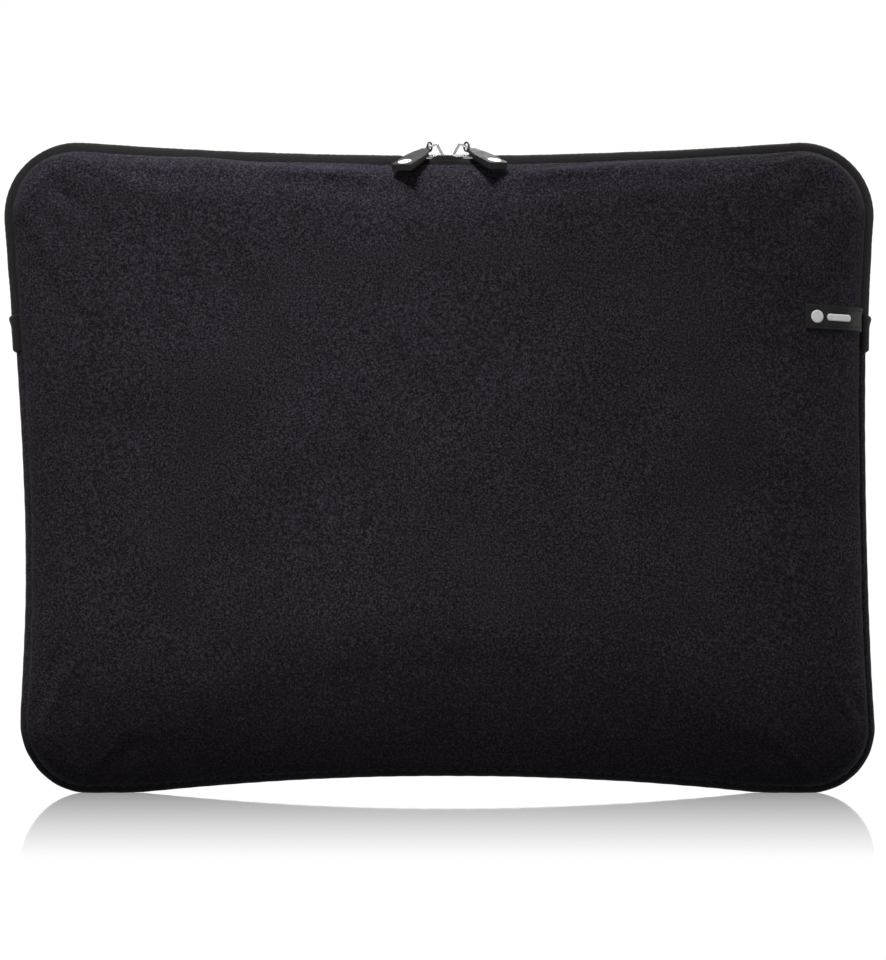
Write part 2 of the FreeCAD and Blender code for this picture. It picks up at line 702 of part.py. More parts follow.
def pull_link(label, place):
    """Wire ring round the bail, with a shank that the grip is moulded on."""
    ring = doc.addObject("Part::Torus", f"{label}_ring")
    ring.setExpression("Radius1", "Sizes.ring_radius")
    ring.setExpression("Radius2", "Sizes.wire_radius")
    ring.Placement = FreeCAD.Placement(
        FreeCAD.Vector(), FreeCAD.Rotation(FreeCAD.Vector(1, 0, 0), 90))
    shank = doc.addObject("Part::Cylinder", f"{label}_shank")
    shank.setExpression("Radius", "Sizes.shank_radius")
    shank.setExpression("Height", "Sizes.shank_end - Sizes.shank_start")
    shank.setExpression("Placement.Base.x", "Sizes.shank_start")
    shank.setExpression("Placement.Base.z", "-Sizes.shank_drop")
    shank.Placement.Rotation = FreeCAD.Rotation(FreeCAD.Vector(0, 1, 0), 90)
    link = combine("Part::Fuse", label, ring, shank)
    link.Placement = place
    return link


def grip_outline():
    """Plan of the grip: a narrow neck that widens to square shoulders."""
    half = [
        ("grip_start", "neck_half"),
        ("neck_end", "neck_half"),
        ("neck_end + 2.4", "grip_half - 1.2"),
        ("shoulder", "grip_half"),
        ("grip_end - grip_corner", "grip_half"),
        ("grip_end", "grip_half - grip_corner"),
    ]
    mirrored = [(x, flip(f"+ {y}")) for x, y in reversed(half)]
    return half + mirrored


def pull_grip(label, place, link):
    """Moulded rubber grip, thinner underneath at the neck, with a recess for the dot."""
    body = new_body(f"{label}_moulding")
    plan = new_sketch(body, f"{label}_plan", "XY_Plane", "grip_hang", -1)
    add_polygon(plan, grip_outline())
    pad(body, plan, f"{label}_slab", "grip_wall", middle=True)
    relief = new_sketch(body, f"{label}_relief_outline", "XZ_Plane")
    under = "- grip_hang - grip_wall / 2 - 1"
    neck = "grip_wall / 2 - grip_hang - neck_wall"
    add_polygon(relief, [
        ("grip_start - 1", under),
        ("grip_start - 1", neck),
        ("relief_start", neck),
        ("relief_end", under),
    ])
    pocket(body, relief, f"{label}_relief", "grip_half + grip_half + 2", middle=True)
    recess = new_sketch(body, f"{label}_recess_outline", "XY_Plane", "grip_wall / 2 - grip_hang")
    add_circle(recess, "dot_at", "dot_radius")
    pocket(body, recess, f"{label}_recess", "dot_sink")
    body.Placement = place
    combine("Part::Cut", label, body, link)


def pull_dot(label, place):
    """Plain round inlay near the grip's end."""
    body = new_body(label)
    sketch = new_sketch(body, f"{label}_outline", "XY_Plane", "grip_wall / 2 - grip_hang - dot_sink")
    add_circle(sketch, "dot_at", "dot_radius")
    pad(body, sketch, f"{label}_disc", "dot_wall")
    body.Placement = place


def zip_hardware():
    """Both sliders and their pulls; the sliders meet nose to nose."""
    from_meeting = (size("nose_gap") + size("slider_long")) / 2
    for word, outwards in (("left", -1), ("right", 1)):
        place = slider_place(size("meet_offset") + outwards * from_meeting, turned=outwards > 0)
        slider(f"slider_{word}").Placement = place
        pull = pull_place(place, outwards, size(f"{word}_yaw"), size(f"{word}_droop"))
        link = pull_link(f"pull_{word}_link", pull)
        pull_grip(f"pull_{word}_grip", pull, link)
        pull_dot(f"pull_{word}_dot", pull)


# ---------------------------------------------------------------- label


def on_label(local, rotation=FreeCAD.Rotation()):
    """A placement in the label's frame: X towards the side, Z up the sloping edge."""
    turn = FreeCAD.Rotation(FreeCAD.Vector(0, 1, 0), size("label_tilt"))
    origin = FreeCAD.Vector(size("label_from"), 0, size("label_mid_height"))
    return FreeCAD.Placement(origin, turn).multiply(FreeCAD.Placement(local, rotation))


def front_bar(name, low_x, long, half_tall):
    """A bar that reaches from in front of the label back to the seam."""
    bar = doc.addObject("Part::Box", name)
    bar.setExpression("Length", cells_of(long))
    bar.setExpression("Width", "Sizes.panel_depth + 6")
    bar.setExpression("Height", f"2 * ({cells_of(half_tall)})")
    reach = size("seam_half") + size("panel_depth") + 5
    bar.Placement = on_label(FreeCAD.Vector(value_of(low_x), -reach, -value_of(half_tall)))
    return bar


def side_label():
    """Label that lies on the front panel and follows its rolled edge into the side seam."""
    skin = layer("side_label_skin", 1, "- touch_gap - label_wall", "- touch_gap")
    extent = front_bar("side_label_extent", "0", "label_from / 4", "label_tall / 2")
    combine("Part::Common", "side_label", skin, extent)


def label_marks():
    """Plain raised mark on the label: a round dot, then a bar."""
    under = "- touch_gap - label_wall - touch_gap"
    bar = front_bar("label_mark_bar_extent", "mark_from", "mark_long", "mark_half")
    dot = doc.addObject("Part::Cylinder", "label_mark_dot_extent")
    dot.setExpression("Radius", "Sizes.mark_dot")
    dot.setExpression("Height", "Sizes.panel_depth + 1")
    reach = size("seam_half") + size("panel_depth") + 5
    dot.Placement = on_label(
        FreeCAD.Vector(size("mark_dot_at"), -reach, 0), FreeCAD.Rotation(FreeCAD.Vector(1, 0, 0), -90))
    for label, extent in (("label_mark_dot", dot), ("label_mark_bar", bar)):
        skin = layer(f"{label}_skin", 1, f"{under} - mark_wall", under)
        combine("Part::Common", label, skin, extent)


# ---------------------------------------------------------------- assembly

NODES = [
    "front_panel", "back_panel", "front_lining", "back_lining", "bottom_gusset", "gusset_lining",
    "front_seam_binding", "back_seam_binding", "zip_tape_front", "zip_tape_back", "zip_coil_front",
    "zip_coil_back", "zip_end_tab_left", "zip_end_tab_right",
    "side_label", "label_mark_dot", "label_mark_bar",
    "slider_left", "pull_left_link", "pull_left_grip", "pull_left_dot",
    "slider_right", "pull_right_link", "pull_right_grip", "pull_right_dot",
]


def build():
    for word, facing in (("front", 1), ("back", -1)):
        layer(f"{word}_panel", facing, "+ 0", "+ panel_wall")
        under = "+ panel_wall + layer_gap"
        layer(f"{word}_lining", facing, under, f"{under} + lining_wall")
        seam_binding(f"{word}_seam_binding", facing)
        zip_tape(f"zip_tape_{word}", facing)
        zip_coil(f"zip_coil_{word}", facing)
    bottom_gusset()
    gusset_lining()
    zip_end_tab("zip_end_tab_left", "left")
    zip_end_tab("zip_end_tab_right", "right")
    zip_hardware()
    side_label()
    label_marks()
    doc.recompute()


def export():
    """Stops on any failed object, then writes one STEP file for each piece."""
    for item in doc.Objects:
        if {"Invalid", "Error"} & set(item.State):
            raise RuntimeError(f"{item.Label} failed: {item.State}")
    os.makedirs("parts", exist_ok=True)
    for label in NODES:
        shape = doc.getObjectsByLabel(label)[0].Shape
        if shape.isNull() or not shape.isValid() or shape.Volume <= 0:
            raise RuntimeError(f"{label} has no valid shape")
        shape.exportStep(os.path.join("parts", f"{label}.step"))
        box = shape.optimalBoundingBox()
        print(f"{label:19s} {len(shape.Solids)} solid {shape.Volume:9.1f} mm3"
              f"  x {box.XMin:7.2f} {box.XMax:7.2f}  y {box.YMin:6.2f} {box.YMax:6.2f}"
              f"  z {box.ZMin:6.2f} {box.ZMax:6.2f}")


build()
export()
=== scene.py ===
import math

import bmesh
import bpy
import numpy as np
from mathutils import Matrix, Vector, noise
from mathutils.bvhtree import BVHTree


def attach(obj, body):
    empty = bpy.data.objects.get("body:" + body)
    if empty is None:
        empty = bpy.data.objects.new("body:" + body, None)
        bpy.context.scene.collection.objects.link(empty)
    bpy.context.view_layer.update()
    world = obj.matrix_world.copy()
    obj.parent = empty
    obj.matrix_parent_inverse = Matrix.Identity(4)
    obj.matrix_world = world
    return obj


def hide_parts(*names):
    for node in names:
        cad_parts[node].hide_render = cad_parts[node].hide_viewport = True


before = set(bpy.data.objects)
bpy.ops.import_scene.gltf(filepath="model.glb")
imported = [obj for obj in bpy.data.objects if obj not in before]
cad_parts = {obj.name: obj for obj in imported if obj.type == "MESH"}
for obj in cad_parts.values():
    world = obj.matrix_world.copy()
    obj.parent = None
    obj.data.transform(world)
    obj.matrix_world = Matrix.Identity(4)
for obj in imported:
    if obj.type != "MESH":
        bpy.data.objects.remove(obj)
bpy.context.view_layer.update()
SCENE = bpy.context.scene
MM = 0.001

# -------- the sleeve's outline, in millimetres

TOP_CENTRE, TOP_ARC = (0.0, 2257.8), 2000.0
SIDE_CENTRE, SIDE_ARC = (1621.3, 122.0), 1450.0
BOTTOM_CENTRE, BOTTOM_ARC = (0.0, -1183.2), 1190.0
TOP_CORNER, BOTTOM_CORNER = 29.0, 27.0
TOP_CORNER_NEAR = 146.0
ARC_STEP = 0.25
KINK_AT, KINK_REACH, KINK_TOP = 127.0, 9.0, 40.0
RING_STEP, DEEPEST_RING = 0.5, 46.0
SEAM_HALF = 6.5
SEAM_INSET = 3.1
PANEL_DEPTH = 11.0
PANEL_WALL = 4.0
LAYER_GAP = 0.05
LINING_WALL = 1.2
GUSSET_WALL = 3.6
ZIP_END_HEIGHT = 190.0
TOP_RUN_ABOVE = 200.0
STITCH_PITCH = 4.6
TOP_STEPS = 118
SIDE_STEPS = 88


def circle_meet(a, radius_a, b, radius_b):
    """The point where two circles cross, of the two the one by the top right corner."""
    a, b = Vector(a), Vector(b)
    apart = (b - a).length
    along = (radius_a**2 - radius_b**2 + apart**2) / (2 * apart)
    off = math.sqrt(radius_a**2 - along**2)
    unit = (b - a) / apart
    found = [a + unit * along + Vector((-unit.y, unit.x)) * side * off for side in (1, -1)]
    return min(found, key=lambda point: abs(point.x - TOP_CORNER_NEAR))


TOP_PIVOT = circle_meet(TOP_CENTRE, TOP_ARC + TOP_CORNER, SIDE_CENTRE, SIDE_ARC + TOP_CORNER)
BOTTOM_PIVOT = Vector((SIDE_CENTRE[0] - math.sqrt((SIDE_ARC + BOTTOM_CORNER) ** 2
                                                  - (SIDE_CENTRE[1] - BOTTOM_CORNER) ** 2), BOTTOM_CORNER))


def arc(centre, radius, start, end):
    """Points along an arc; a negative radius puts them on the far side of the centre."""
    steps = max(3, int(abs(end - start) * abs(radius) / ARC_STEP))
    angles = np.linspace(start, end, steps)
    return np.column_stack([centre[0] + radius * np.cos(angles), centre[1] + radius * np.sin(angles)])


def halves(inset):
    """The outline's right half at an inset: side, top and bottom runs between the corners' middles."""
    low = math.atan2(SIDE_CENTRE[1] - BOTTOM_PIVOT.y, SIDE_CENTRE[0] - BOTTOM_PIVOT.x)
    high = math.atan2(TOP_PIVOT.y - SIDE_CENTRE[1], SIDE_CENTRE[0] - TOP_PIVOT.x)
    over = math.atan2(TOP_CENTRE[1] - TOP_PIVOT.y, TOP_CENTRE[0] - TOP_PIVOT.x)
    low_middle = (low - math.pi / 2) / 2
    high_middle = (over - high) / 2
    arch = BOTTOM_ARC + inset
    arch_end = math.acos((inset - BOTTOM_CENTRE[1]) / arch)
    side = np.vstack([
        arc(BOTTOM_PIVOT, BOTTOM_CORNER - inset, low_middle, low),
        arc(SIDE_CENTRE, -(SIDE_ARC + inset), low, -high),
        arc(TOP_PIVOT, TOP_CORNER - inset, -high, high_middle),
    ])
    top = np.vstack([
        arc(TOP_PIVOT, TOP_CORNER - inset, high_middle, over),
        arc(TOP_CENTRE, -(TOP_ARC + inset), over, math.pi / 2),
    ])
    bottom = np.vstack([
        arc(BOTTOM_CENTRE, arch, math.pi / 2, math.pi / 2 - arch_end),
        arc(BOTTOM_PIVOT, BOTTOM_CORNER - inset, -math.pi / 2, low_middle),
    ])
    return side, top, bottom


def lengths(line):
    """Distances along a line, from its first point."""
    return np.concatenate([[0], np.cumsum(np.linalg.norm(np.diff(line, axis=0), axis=1))])


def spaced(line, count):
    """count + 1 points at equal distances along a line."""
    along = lengths(line)
    wanted = np.linspace(0, along[-1], count + 1)
    return np.column_stack([np.interp(wanted, along, line[:, axis]) for axis in range(line.shape[1])])


def mirrored(line):
    return (line * np.array([-1, 1]))[::-1]


def loop(inset, side_steps=SIDE_STEPS, top_steps=TOP_STEPS):
    """The closed outline at an inset, from the lower right corner, up and round."""
    side, top, bottom = halves(inset)
    runs = [
        spaced(side, side_steps),
        spaced(np.vstack([top, mirrored(top)]), top_steps),
        spaced(mirrored(side), side_steps),
        spaced(np.vstack([mirrored(bottom), bottom]), top_steps),
    ]
    return np.vstack([run[:-1] for run in runs])


def smooth_kinks(points, rounds=3):
    """Eases the joints between the flats and the arch under the sleeve."""
    for _ in range(rounds):
        beside = np.abs(np.abs(points[:, 0]) - KINK_AT) < KINK_REACH
        near = beside & (points[:, 1] < KINK_TOP)
        middle = (np.roll(points, 1, axis=0) + np.roll(points, -1, axis=0)) / 2
        points = np.where(near[:, None], middle, points)
    return points


RING_INSETS = np.arange(0.0, DEEPEST_RING + 0.01, RING_STEP)
RINGS = np.array([smooth_kinks(loop(inset)) for inset in RING_INSETS])
RING_COUNT = RINGS.shape[1]


def on_ring(inset):
    """Loop points at an inset that may differ from point to point."""
    place = np.clip(np.asarray(inset) / RING_STEP * np.ones(RING_COUNT), 0, len(RING_INSETS) - 1.001)
    low = place.astype(int)
    share = (place - low)[:, None]
    index = np.arange(RING_COUNT)
    return RINGS[low, index] * (1 - share) + RINGS[low + 1, index] * share


def clamped(value):
    return min(1.0, max(0.0, value))


def wave(x, z, size, seed):
    """Smooth noise from -1 to 1, the same on every run."""
    return noise.noise(Vector((x / size, z / size, seed * 7.31)))


LEAN_FROM, LEAN_TALL = 232.0, 165.0
LEAN_TOP, LEAN_REACH = -0.7, 3.3
LAST_FROM, LAST_TALL, LAST_LEAN = 32.0, 20.0, 0.21
NARROWING = 0.005


def settle(points):
    """How the soft sleeve stands: it leans to the right towards its foot and narrows a little."""
    points = np.array(points, float)
    height = np.clip((LEAN_FROM - points[:, 2]) / LEAN_TALL, 0, 1)
    ease = height * height * (3 - 2 * height)
    ease += LAST_LEAN * np.clip((LAST_FROM - points[:, 2]) / LAST_TALL, 0, 1)
    points[:, 0] += LEAN_TOP + LEAN_REACH * ease - points[:, 0] * NARROWING * ease**2
    return points


# -------- meshes


def grid_faces(rows, columns, start=0, wrap_rows=False, wrap_columns=False):
    """Four-sided faces between rows of points, whose numbers begin at start."""
    faces = []
    for row in range(rows if wrap_rows else rows - 1):
        for column in range(columns if wrap_columns else columns - 1):
            right = (column + 1) % columns
            above = (row + 1) % rows
            faces.append((start + row * columns + column, start + row * columns + right,
                          start + above * columns + right, start + above * columns + column))
    return faces


def new_object(name, points, faces, flat=False):
    """An object from points in millimetres, with its faces turned outwards."""
    mesh = bpy.data.meshes.new(name)
    mesh.from_pydata((np.asarray(points) * MM).tolist(), [], faces)
    work = bmesh.new()
    work.from_mesh(mesh)
    bmesh.ops.recalc_face_normals(work, faces=work.faces)
    work.to_mesh(mesh)
    work.free()
    mesh.polygons.foreach_set("use_smooth", [not flat] * len(mesh.polygons))
    made = bpy.data.objects.new(name, mesh)
    SCENE.collection.objects.link(made)
    return made


def piece(made, body, slot, replaced=(), finish=None):
    """Gives a new object its material, chosen by finish or else by slot, puts it under its body, and hides
    the CAD nodes that it stands for.
    """
    made.data.materials.clear()
    made.data.materials.append(MATERIALS[finish or slot])
    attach(made, body)
    if replaced:
        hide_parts(*replaced)
    return made


def smoothed(made):
    smooth = made.modifiers.new("smooth", "SUBSURF")
    smooth.levels = smooth.render_levels = 1


END_BULGE = 0.6
ROUND = np.linspace(0, math.tau, 49)[:-1]


def tube(path, radius, sides=6, closed=False):
    """Points and faces of a round wire along a path, with rounded ends where it is open."""
    path = np.asarray(path, float)
    count = len(path)
    if closed:
        tangents = np.roll(path, -1, axis=0) - np.roll(path, 1, axis=0)
    else:
        tangents = np.gradient(path, axis=0)
    tangents /= np.linalg.norm(tangents, axis=1)[:, None]
    side = np.cross(tangents[0], [0.31, 0.77, 0.55])
    points = []
    for index in range(count):
        side = side - tangents[index] * (side @ tangents[index])
        side /= np.linalg.norm(side)
        other = np.cross(tangents[index], side)
        for step in range(sides):
            angle = math.tau * step / sides
            points.append(path[index] + radius * (math.cos(angle) * side + math.sin(angle) * other))
    faces = grid_faces(count, sides, wrap_rows=closed, wrap_columns=True)
    if not closed:
        for end, sign in ((0, -1), (count - 1, 1)):
            points.append(path[end] + sign * tangents[end] * radius * END_BULGE)
            tip = len(points) - 1
            for step in range(sides):
                faces.append((end * sides + step, end * sides + (step + 1) % sides, tip))
    return np.array(points), faces


def gathered(parts):
    """Several sets of points and faces as one."""
    points, faces, start = [], [], 0
    for part_points, part_faces in parts:
        points.append(part_points)
        faces += [tuple(index + start for index in face) for face in part_faces]
        start += len(part_points)
    return np.vstack(points), faces


# -------- panels


def around(values):
    """Smooth weights round the loop: how far each point belongs to the top, sides and bottom."""
    normal = RINGS[0] - RINGS[4]
    normal /= np.linalg.norm(normal, axis=1)[:, None]
    up = np.clip(normal[:, 1], 0, 1) ** 2
    down = np.clip(-normal[:, 1], 0, 1) ** 2
    return values[0] * up + values[1] * down + values[2] * (1 - up - down)


MEET_AT = 3.0
ROLL_POWER = 2.25
SLIDER_ROLL, SLIDER_REACH = 10.5, 34.0
FOOT_ROLL, FOOT_REACH = 28.0, 152.0
BESIDE_SLIDERS = around((SLIDER_ROLL, 0.0, 0.0)) * np.exp(-((RINGS[0][:, 0] - MEET_AT) / SLIDER_REACH) ** 4)
UNDER_MIDDLE = around((0.0, FOOT_ROLL, 0.0)) * np.clip(1 - (RINGS[0][:, 0] / FOOT_REACH) ** 2, 0, 1)
ROLL_REACH = around((4.5, 12.0, 12.0)) + BESIDE_SLIDERS + UNDER_MIDDLE
LEAST_ROLL = 0.8
ROLL_ANGLES = np.radians([9, 18, 27, 36, 45, 54, 63, 72, 81, 84, 87, 90])
ROLL_STEPS = len(ROLL_ANGLES)
ROLL_ROWS = ROLL_STEPS + 3
LAST_GAP = 2.2
HIDDEN_INSET, LIP_INSET = 4.3, 3.35
HIDDEN_DEPTH, LIP_DEPTH, LINING_LIP_DEPTH = 6.52, 6.62, 6.6


def shell_surface(facing, offset):
    """Points of one panel-shaped surface, lying offset inside the panel's outer face."""
    rows, depths = [], []
    if offset == 0:
        rows += [on_ring(HIDDEN_INSET), on_ring(LIP_INSET)]
        depths += [np.full(RING_COUNT, HIDDEN_DEPTH), np.full(RING_COUNT, LIP_DEPTH)]
    else:
        rows += [on_ring(SEAM_INSET + offset), on_ring(SEAM_INSET + offset)]
        depths += [np.full(RING_COUNT, HIDDEN_DEPTH), np.full(RING_COUNT, LINING_LIP_DEPTH)]
    reach, depth = np.maximum(ROLL_REACH - offset, LEAST_ROLL), PANEL_DEPTH - offset
    for angle in ROLL_ANGLES:
        across = 1 - abs(math.cos(angle)) ** (2 / ROLL_POWER)
        rise = math.sin(angle) ** (2 / ROLL_POWER)
        rows.append(on_ring(SEAM_INSET + offset + reach * across))
        depths.append(np.full(RING_COUNT, SEAM_HALF + depth * rise))
    rows.append(on_ring(SEAM_INSET + ROLL_REACH + LAST_GAP))
    depths.append(np.full(RING_COUNT, SEAM_HALF + depth))
    rings = np.array(rows)
    depths = np.array(depths)
    inner = rings[-1]
    closed = np.vstack([inner, inner[:1]])
    right = closed[:SIDE_STEPS + 1]
    top = closed[SIDE_STEPS:SIDE_STEPS + TOP_STEPS + 1][::-1]
    left = closed[SIDE_STEPS + TOP_STEPS:2 * SIDE_STEPS + TOP_STEPS + 1][::-1]
    bottom = closed[2 * SIDE_STEPS + TOP_STEPS:]
    across = np.linspace(0, 1, TOP_STEPS + 1)[None, 1:-1, None]
    upwards = np.linspace(0, 1, SIDE_STEPS + 1)[1:-1, None, None]
    patch = ((1 - across) * left[1:-1, None] + across * right[1:-1, None]
             + (1 - upwards) * bottom[None, 1:-1] + upwards * top[None, 1:-1]
             - (1 - across) * (1 - upwards) * bottom[0] - across * (1 - upwards) * bottom[-1]
             - (1 - across) * upwards * top[0] - across * upwards * top[-1])
    plan = np.vstack([rings.reshape(-1, 2), patch.reshape(-1, 2)])
    deep = np.concatenate([depths.ravel(), np.full(patch.shape[0] * patch.shape[1], SEAM_HALF + depth)])
    belly = np.array([belly_of(x, z) for x, z in plan])
    share = np.clip((deep - SEAM_HALF) / depth, 0, 1)
    deep = deep + belly * share
    return np.column_stack([plan[:, 0], facing * deep, plan[:, 1]])


BELLY_HALF, BELLY_POWER, BELLY_FULL = 176.0, 2.6, 1.3
FOOT_TOP, FOOT_TALL, FOOT_TUCK = 74.0, 68.0, 6.2
FOOT_HALF, FOOT_EASE = 160.0, 0.45
UPPER_FROM, UPPER_TALL = 190.0, 70.0


def belly_of(x, z):
    """How far the face stands proud of flat, in millimetres: full in the middle, tucked at the foot."""
    rise = max(0.0, 1 - (abs(x) / BELLY_HALF) ** BELLY_POWER)
    foot = clamped((FOOT_TOP - z) / FOOT_TALL)
    upper = clamped((z - UPPER_FROM) / UPPER_TALL)
    tuck = FOOT_TUCK * foot**2 * (1 - FOOT_EASE * min(1.0, abs(x) / FOOT_HALF) ** 2)
    full = BELLY_FULL * rise * (1 - foot) * (1 - upper**2)
    soft = 0.28 * wave(x, z, 62, 1) + 0.16 * wave(x, z, 27, 2)
    return full - tuck + soft


def shell_faces(start=0):
    """Faces of one panel-shaped surface: rings, then the patch inside them."""
    faces = grid_faces(ROLL_ROWS, RING_COUNT, start, wrap_columns=True)
    inner = start + (ROLL_ROWS - 1) * RING_COUNT
    patch = start + ROLL_ROWS * RING_COUNT
    columns, rows = TOP_STEPS - 1, SIDE_STEPS - 1

    def vertex(column, row):
        if column == TOP_STEPS and row <= SIDE_STEPS:
            return inner + row
        if row == SIDE_STEPS:
            return inner + SIDE_STEPS + (TOP_STEPS - column)
        if column == 0 and row > 0:
            return inner + SIDE_STEPS + TOP_STEPS + (SIDE_STEPS - row)
        if row == 0:
            return inner + (2 * SIDE_STEPS + TOP_STEPS + column) % RING_COUNT
        return patch + (row - 1) * columns + (column - 1)

    for row in range(rows + 1):
        for column in range(columns + 1):
            faces.append((vertex(column, row), vertex(column + 1, row),
                          vertex(column + 1, row + 1), vertex(column, row + 1)))
    return faces


STITCH_FADE, STITCH_PULL = 4.5, 0.10
RIPPLE_ABOVE, RIPPLE_AT, RIPPLE_HALF = 230.0, -86.0, 34.0
RIPPLE_START, RIPPLE_LONG = -118.0, 10.5


def puckers(facing):
    """Small movements of a panel's edge at its stitches, and slow ripples along the zip."""
    outline = RINGS[0]
    along = lengths(np.vstack([outline, outline[:1]]))[:-1]
    inwards = RINGS[8] - RINGS[0]
    inwards /= np.linalg.norm(inwards, axis=1)[:, None]
    moved = np.zeros((ROLL_ROWS * RING_COUNT, 3))
    for row in range(1, ROLL_ROWS):
        fade = max(0.0, 1 - (row - 1) / STITCH_FADE)
        slow_fade = max(0.0, 1 - (row - 1) / (ROLL_ROWS - 1)) ** 1.2
        for index in range(RING_COUNT):
            x, z = outline[index]
            stitch = math.sin(math.tau * along[index] / (2 * STITCH_PITCH))
            slow = wave(x, z, 17, 3 + facing) + 0.6 * wave(x, z, 8, 5 + facing)
            ripple = 0.0
            if z > RIPPLE_ABOVE:
                ripple = math.exp(-((x - RIPPLE_AT) / RIPPLE_HALF) ** 2)
                ripple *= math.sin((x - RIPPLE_START) / RIPPLE_LONG)
            push = STITCH_PULL * stitch * fade - 0.34 * slow * slow_fade - 0.62 * ripple * slow_fade
            out = 0.30 * slow * slow_fade + 0.55 * ripple * slow_fade
            place = row * RING_COUNT + index
            moved[place, 0] = inwards[index, 0] * push
            moved[place, 2] = inwards[index, 1] * push
            moved[place, 1] = facing * out * min(1, row / 3)
    return moved


SWELL_FRAMES = 20
SWELL_PRESSURE = 3.0
HELD_ROWS = 3


def swell(facing, surface):
    """Cloth simulation of a panel's face under the pressure of what it holds, sewn down all round."""
    made = new_object("swelling", surface, shell_faces())
    held = made.vertex_groups.new(name="held")
    held.add(list(range(HELD_ROWS * RING_COUNT)), 1.0, "REPLACE")
    cloth = made.modifiers.new("cloth", "CLOTH")
    settings = cloth.settings
    settings.quality = 6
    settings.mass = 0.3
    settings.tension_stiffness = 12
    settings.compression_stiffness = 12
    settings.shear_stiffness = 6
    settings.bending_stiffness = 3
    settings.vertex_group_mass = "held"
    settings.use_pressure = True
    settings.uniform_pressure_force = SWELL_PRESSURE
    settings.effector_weights.gravity = 0
    cloth.collision_settings.use_collision = False
    cloth.point_cache.frame_start, cloth.point_cache.frame_end = 1, SWELL_FRAMES
    normal = made.data.polygons[len(made.data.polygons) - 1].normal
    if normal.y * facing < 0:
        made.data.flip_normals()
    for step in range(1, SWELL_FRAMES + 1):
        SCENE.frame_set(step)
    done = made.evaluated_get(bpy.context.evaluated_depsgraph_get())
    place = np.zeros(len(done.data.vertices) * 3)
    done.data.vertices.foreach_get("co", place)
    moved = place.reshape(-1, 3) / MM - surface
    SCENE.frame_set(1)
    bpy.data.objects.remove(made)
    return moved


CAP = 1.5


def capped(moved):
    """Eases large movements towards a limit of CAP millimetres."""
    size = np.linalg.norm(moved, axis=1)[:, None] + 1e-9
    return moved / size * CAP * np.tanh(size / CAP)


def panel_pair(facing, word):
    """One side of the sleeve: its padded shell and the plush lining inside it."""
    outer = shell_surface(facing, 0)
    moved = capped(swell(facing, outer))
    moved[:ROLL_ROWS * RING_COUNT] += puckers(facing)
    count = len(outer)
    rim = [(index, (index + 1) % RING_COUNT, count + (index + 1) % RING_COUNT, count + index)
           for index in range(RING_COUNT)]
    layers = ((f"{word}_panel", 0, PANEL_WALL), (f"{word}_lining", PANEL_WALL + LAYER_GAP,
                                                PANEL_WALL + LAYER_GAP + LINING_WALL))
    for name, near, far in layers:
        face = settle(shell_surface(facing, near) + moved)
        back = settle(shell_surface(facing, far) + moved)
        faces = shell_faces() + shell_faces(count) + rim
        made = new_object(f"{name}_shell", np.vstack([face, back]), faces)
        if near == 0:
            smoothed(made)
            piece(made, "sleeve", "neoprene", (name,))
            surface = face
        else:
            piece(made, "sleeve", "plush_lining", (name,))
    return surface


# -------- bands along the outline


SIDE_LONG, TOP_LONG = 264, 352
ENDS_APART = 6


def stations(spacing, upper=None):
    """Points, inward directions and distances along the outline; upper or lower part, or all of it."""
    side_steps, top_steps = round(SIDE_LONG / spacing), round(TOP_LONG / spacing)
    outline = smooth_kinks(loop(0, side_steps, top_steps))
    tangent = np.roll(outline, -1, axis=0) - np.roll(outline, 1, axis=0)
    inwards = np.column_stack([-tangent[:, 1], tangent[:, 0]])
    inwards /= np.linalg.norm(inwards, axis=1)[:, None]
    if upper is not None:
        chosen = outline[:, 1] >= ZIP_END_HEIGHT if upper else outline[:, 1] <= ZIP_END_HEIGHT
        changes = np.flatnonzero(chosen & ~np.roll(chosen, 1))
        order = (np.arange(len(outline)) + changes[0]) % len(outline)
        order = order[chosen[order]]
        outline, inwards = outline[order], inwards[order]
    closed = upper is None
    along = lengths(np.vstack([outline, outline[:1]]) if closed else outline)
    return outline, inwards, along[:-1] if closed else along


def walk(part, distance):
    """X and Z of the outline at a distance along it, and X and Z of the direction inwards."""
    outline, inwards, along = part
    return [np.interp(distance, along, column) for column in (*outline.T, *inwards.T)]


def banded(name, part, profile, wobble=None):
    """A closed solid swept along the outline. profile gives (y, inset) all round the section."""
    outline, inwards, along = part
    closed = np.linalg.norm(outline[0] - outline[-1]) < ENDS_APART
    points = []
    for place, inwards_here, distance in zip(outline, inwards, along):
        for y, inset in profile:
            if wobble:
                y, inset = wobble(y, inset, distance, place)
            points.append((place[0] + inwards_here[0] * inset, y, place[1] + inwards_here[1] * inset))
    count, columns = len(outline), len(profile)
    faces = grid_faces(count, columns, wrap_rows=closed, wrap_columns=True)
    if not closed:
        faces += [tuple(range(columns)), tuple(range((count - 1) * columns, count * columns))]
    return new_object(name, settle(points), faces)


def crown(half, low, power, drop, steps):
    """Upper line of a section from -half to half, falling by drop at its edges."""
    line = []
    for step in range(steps + 1):
        angle = math.pi * step / steps
        across = -math.cos(angle)
        fall = 1 - (1 - abs(across) ** power) ** (1 / power)
        line.append((half * across, low + drop * fall))
    return line


GUSSET_SKIN = 2.5


def gusset_wobble(y, inset, distance, place):
    """Slow unevenness across the strip, and a pull at every stitch on its outer face."""
    edge = abs(y) / SEAM_HALF
    slow = wave(place[0], place[1], 19, 11)
    inset += 0.14 * slow * (1 - edge)
    if inset < GUSSET_SKIN:
        inset += STITCH_PULL * edge * math.sin(math.tau * distance / (2 * STITCH_PITCH))
    return y, inset


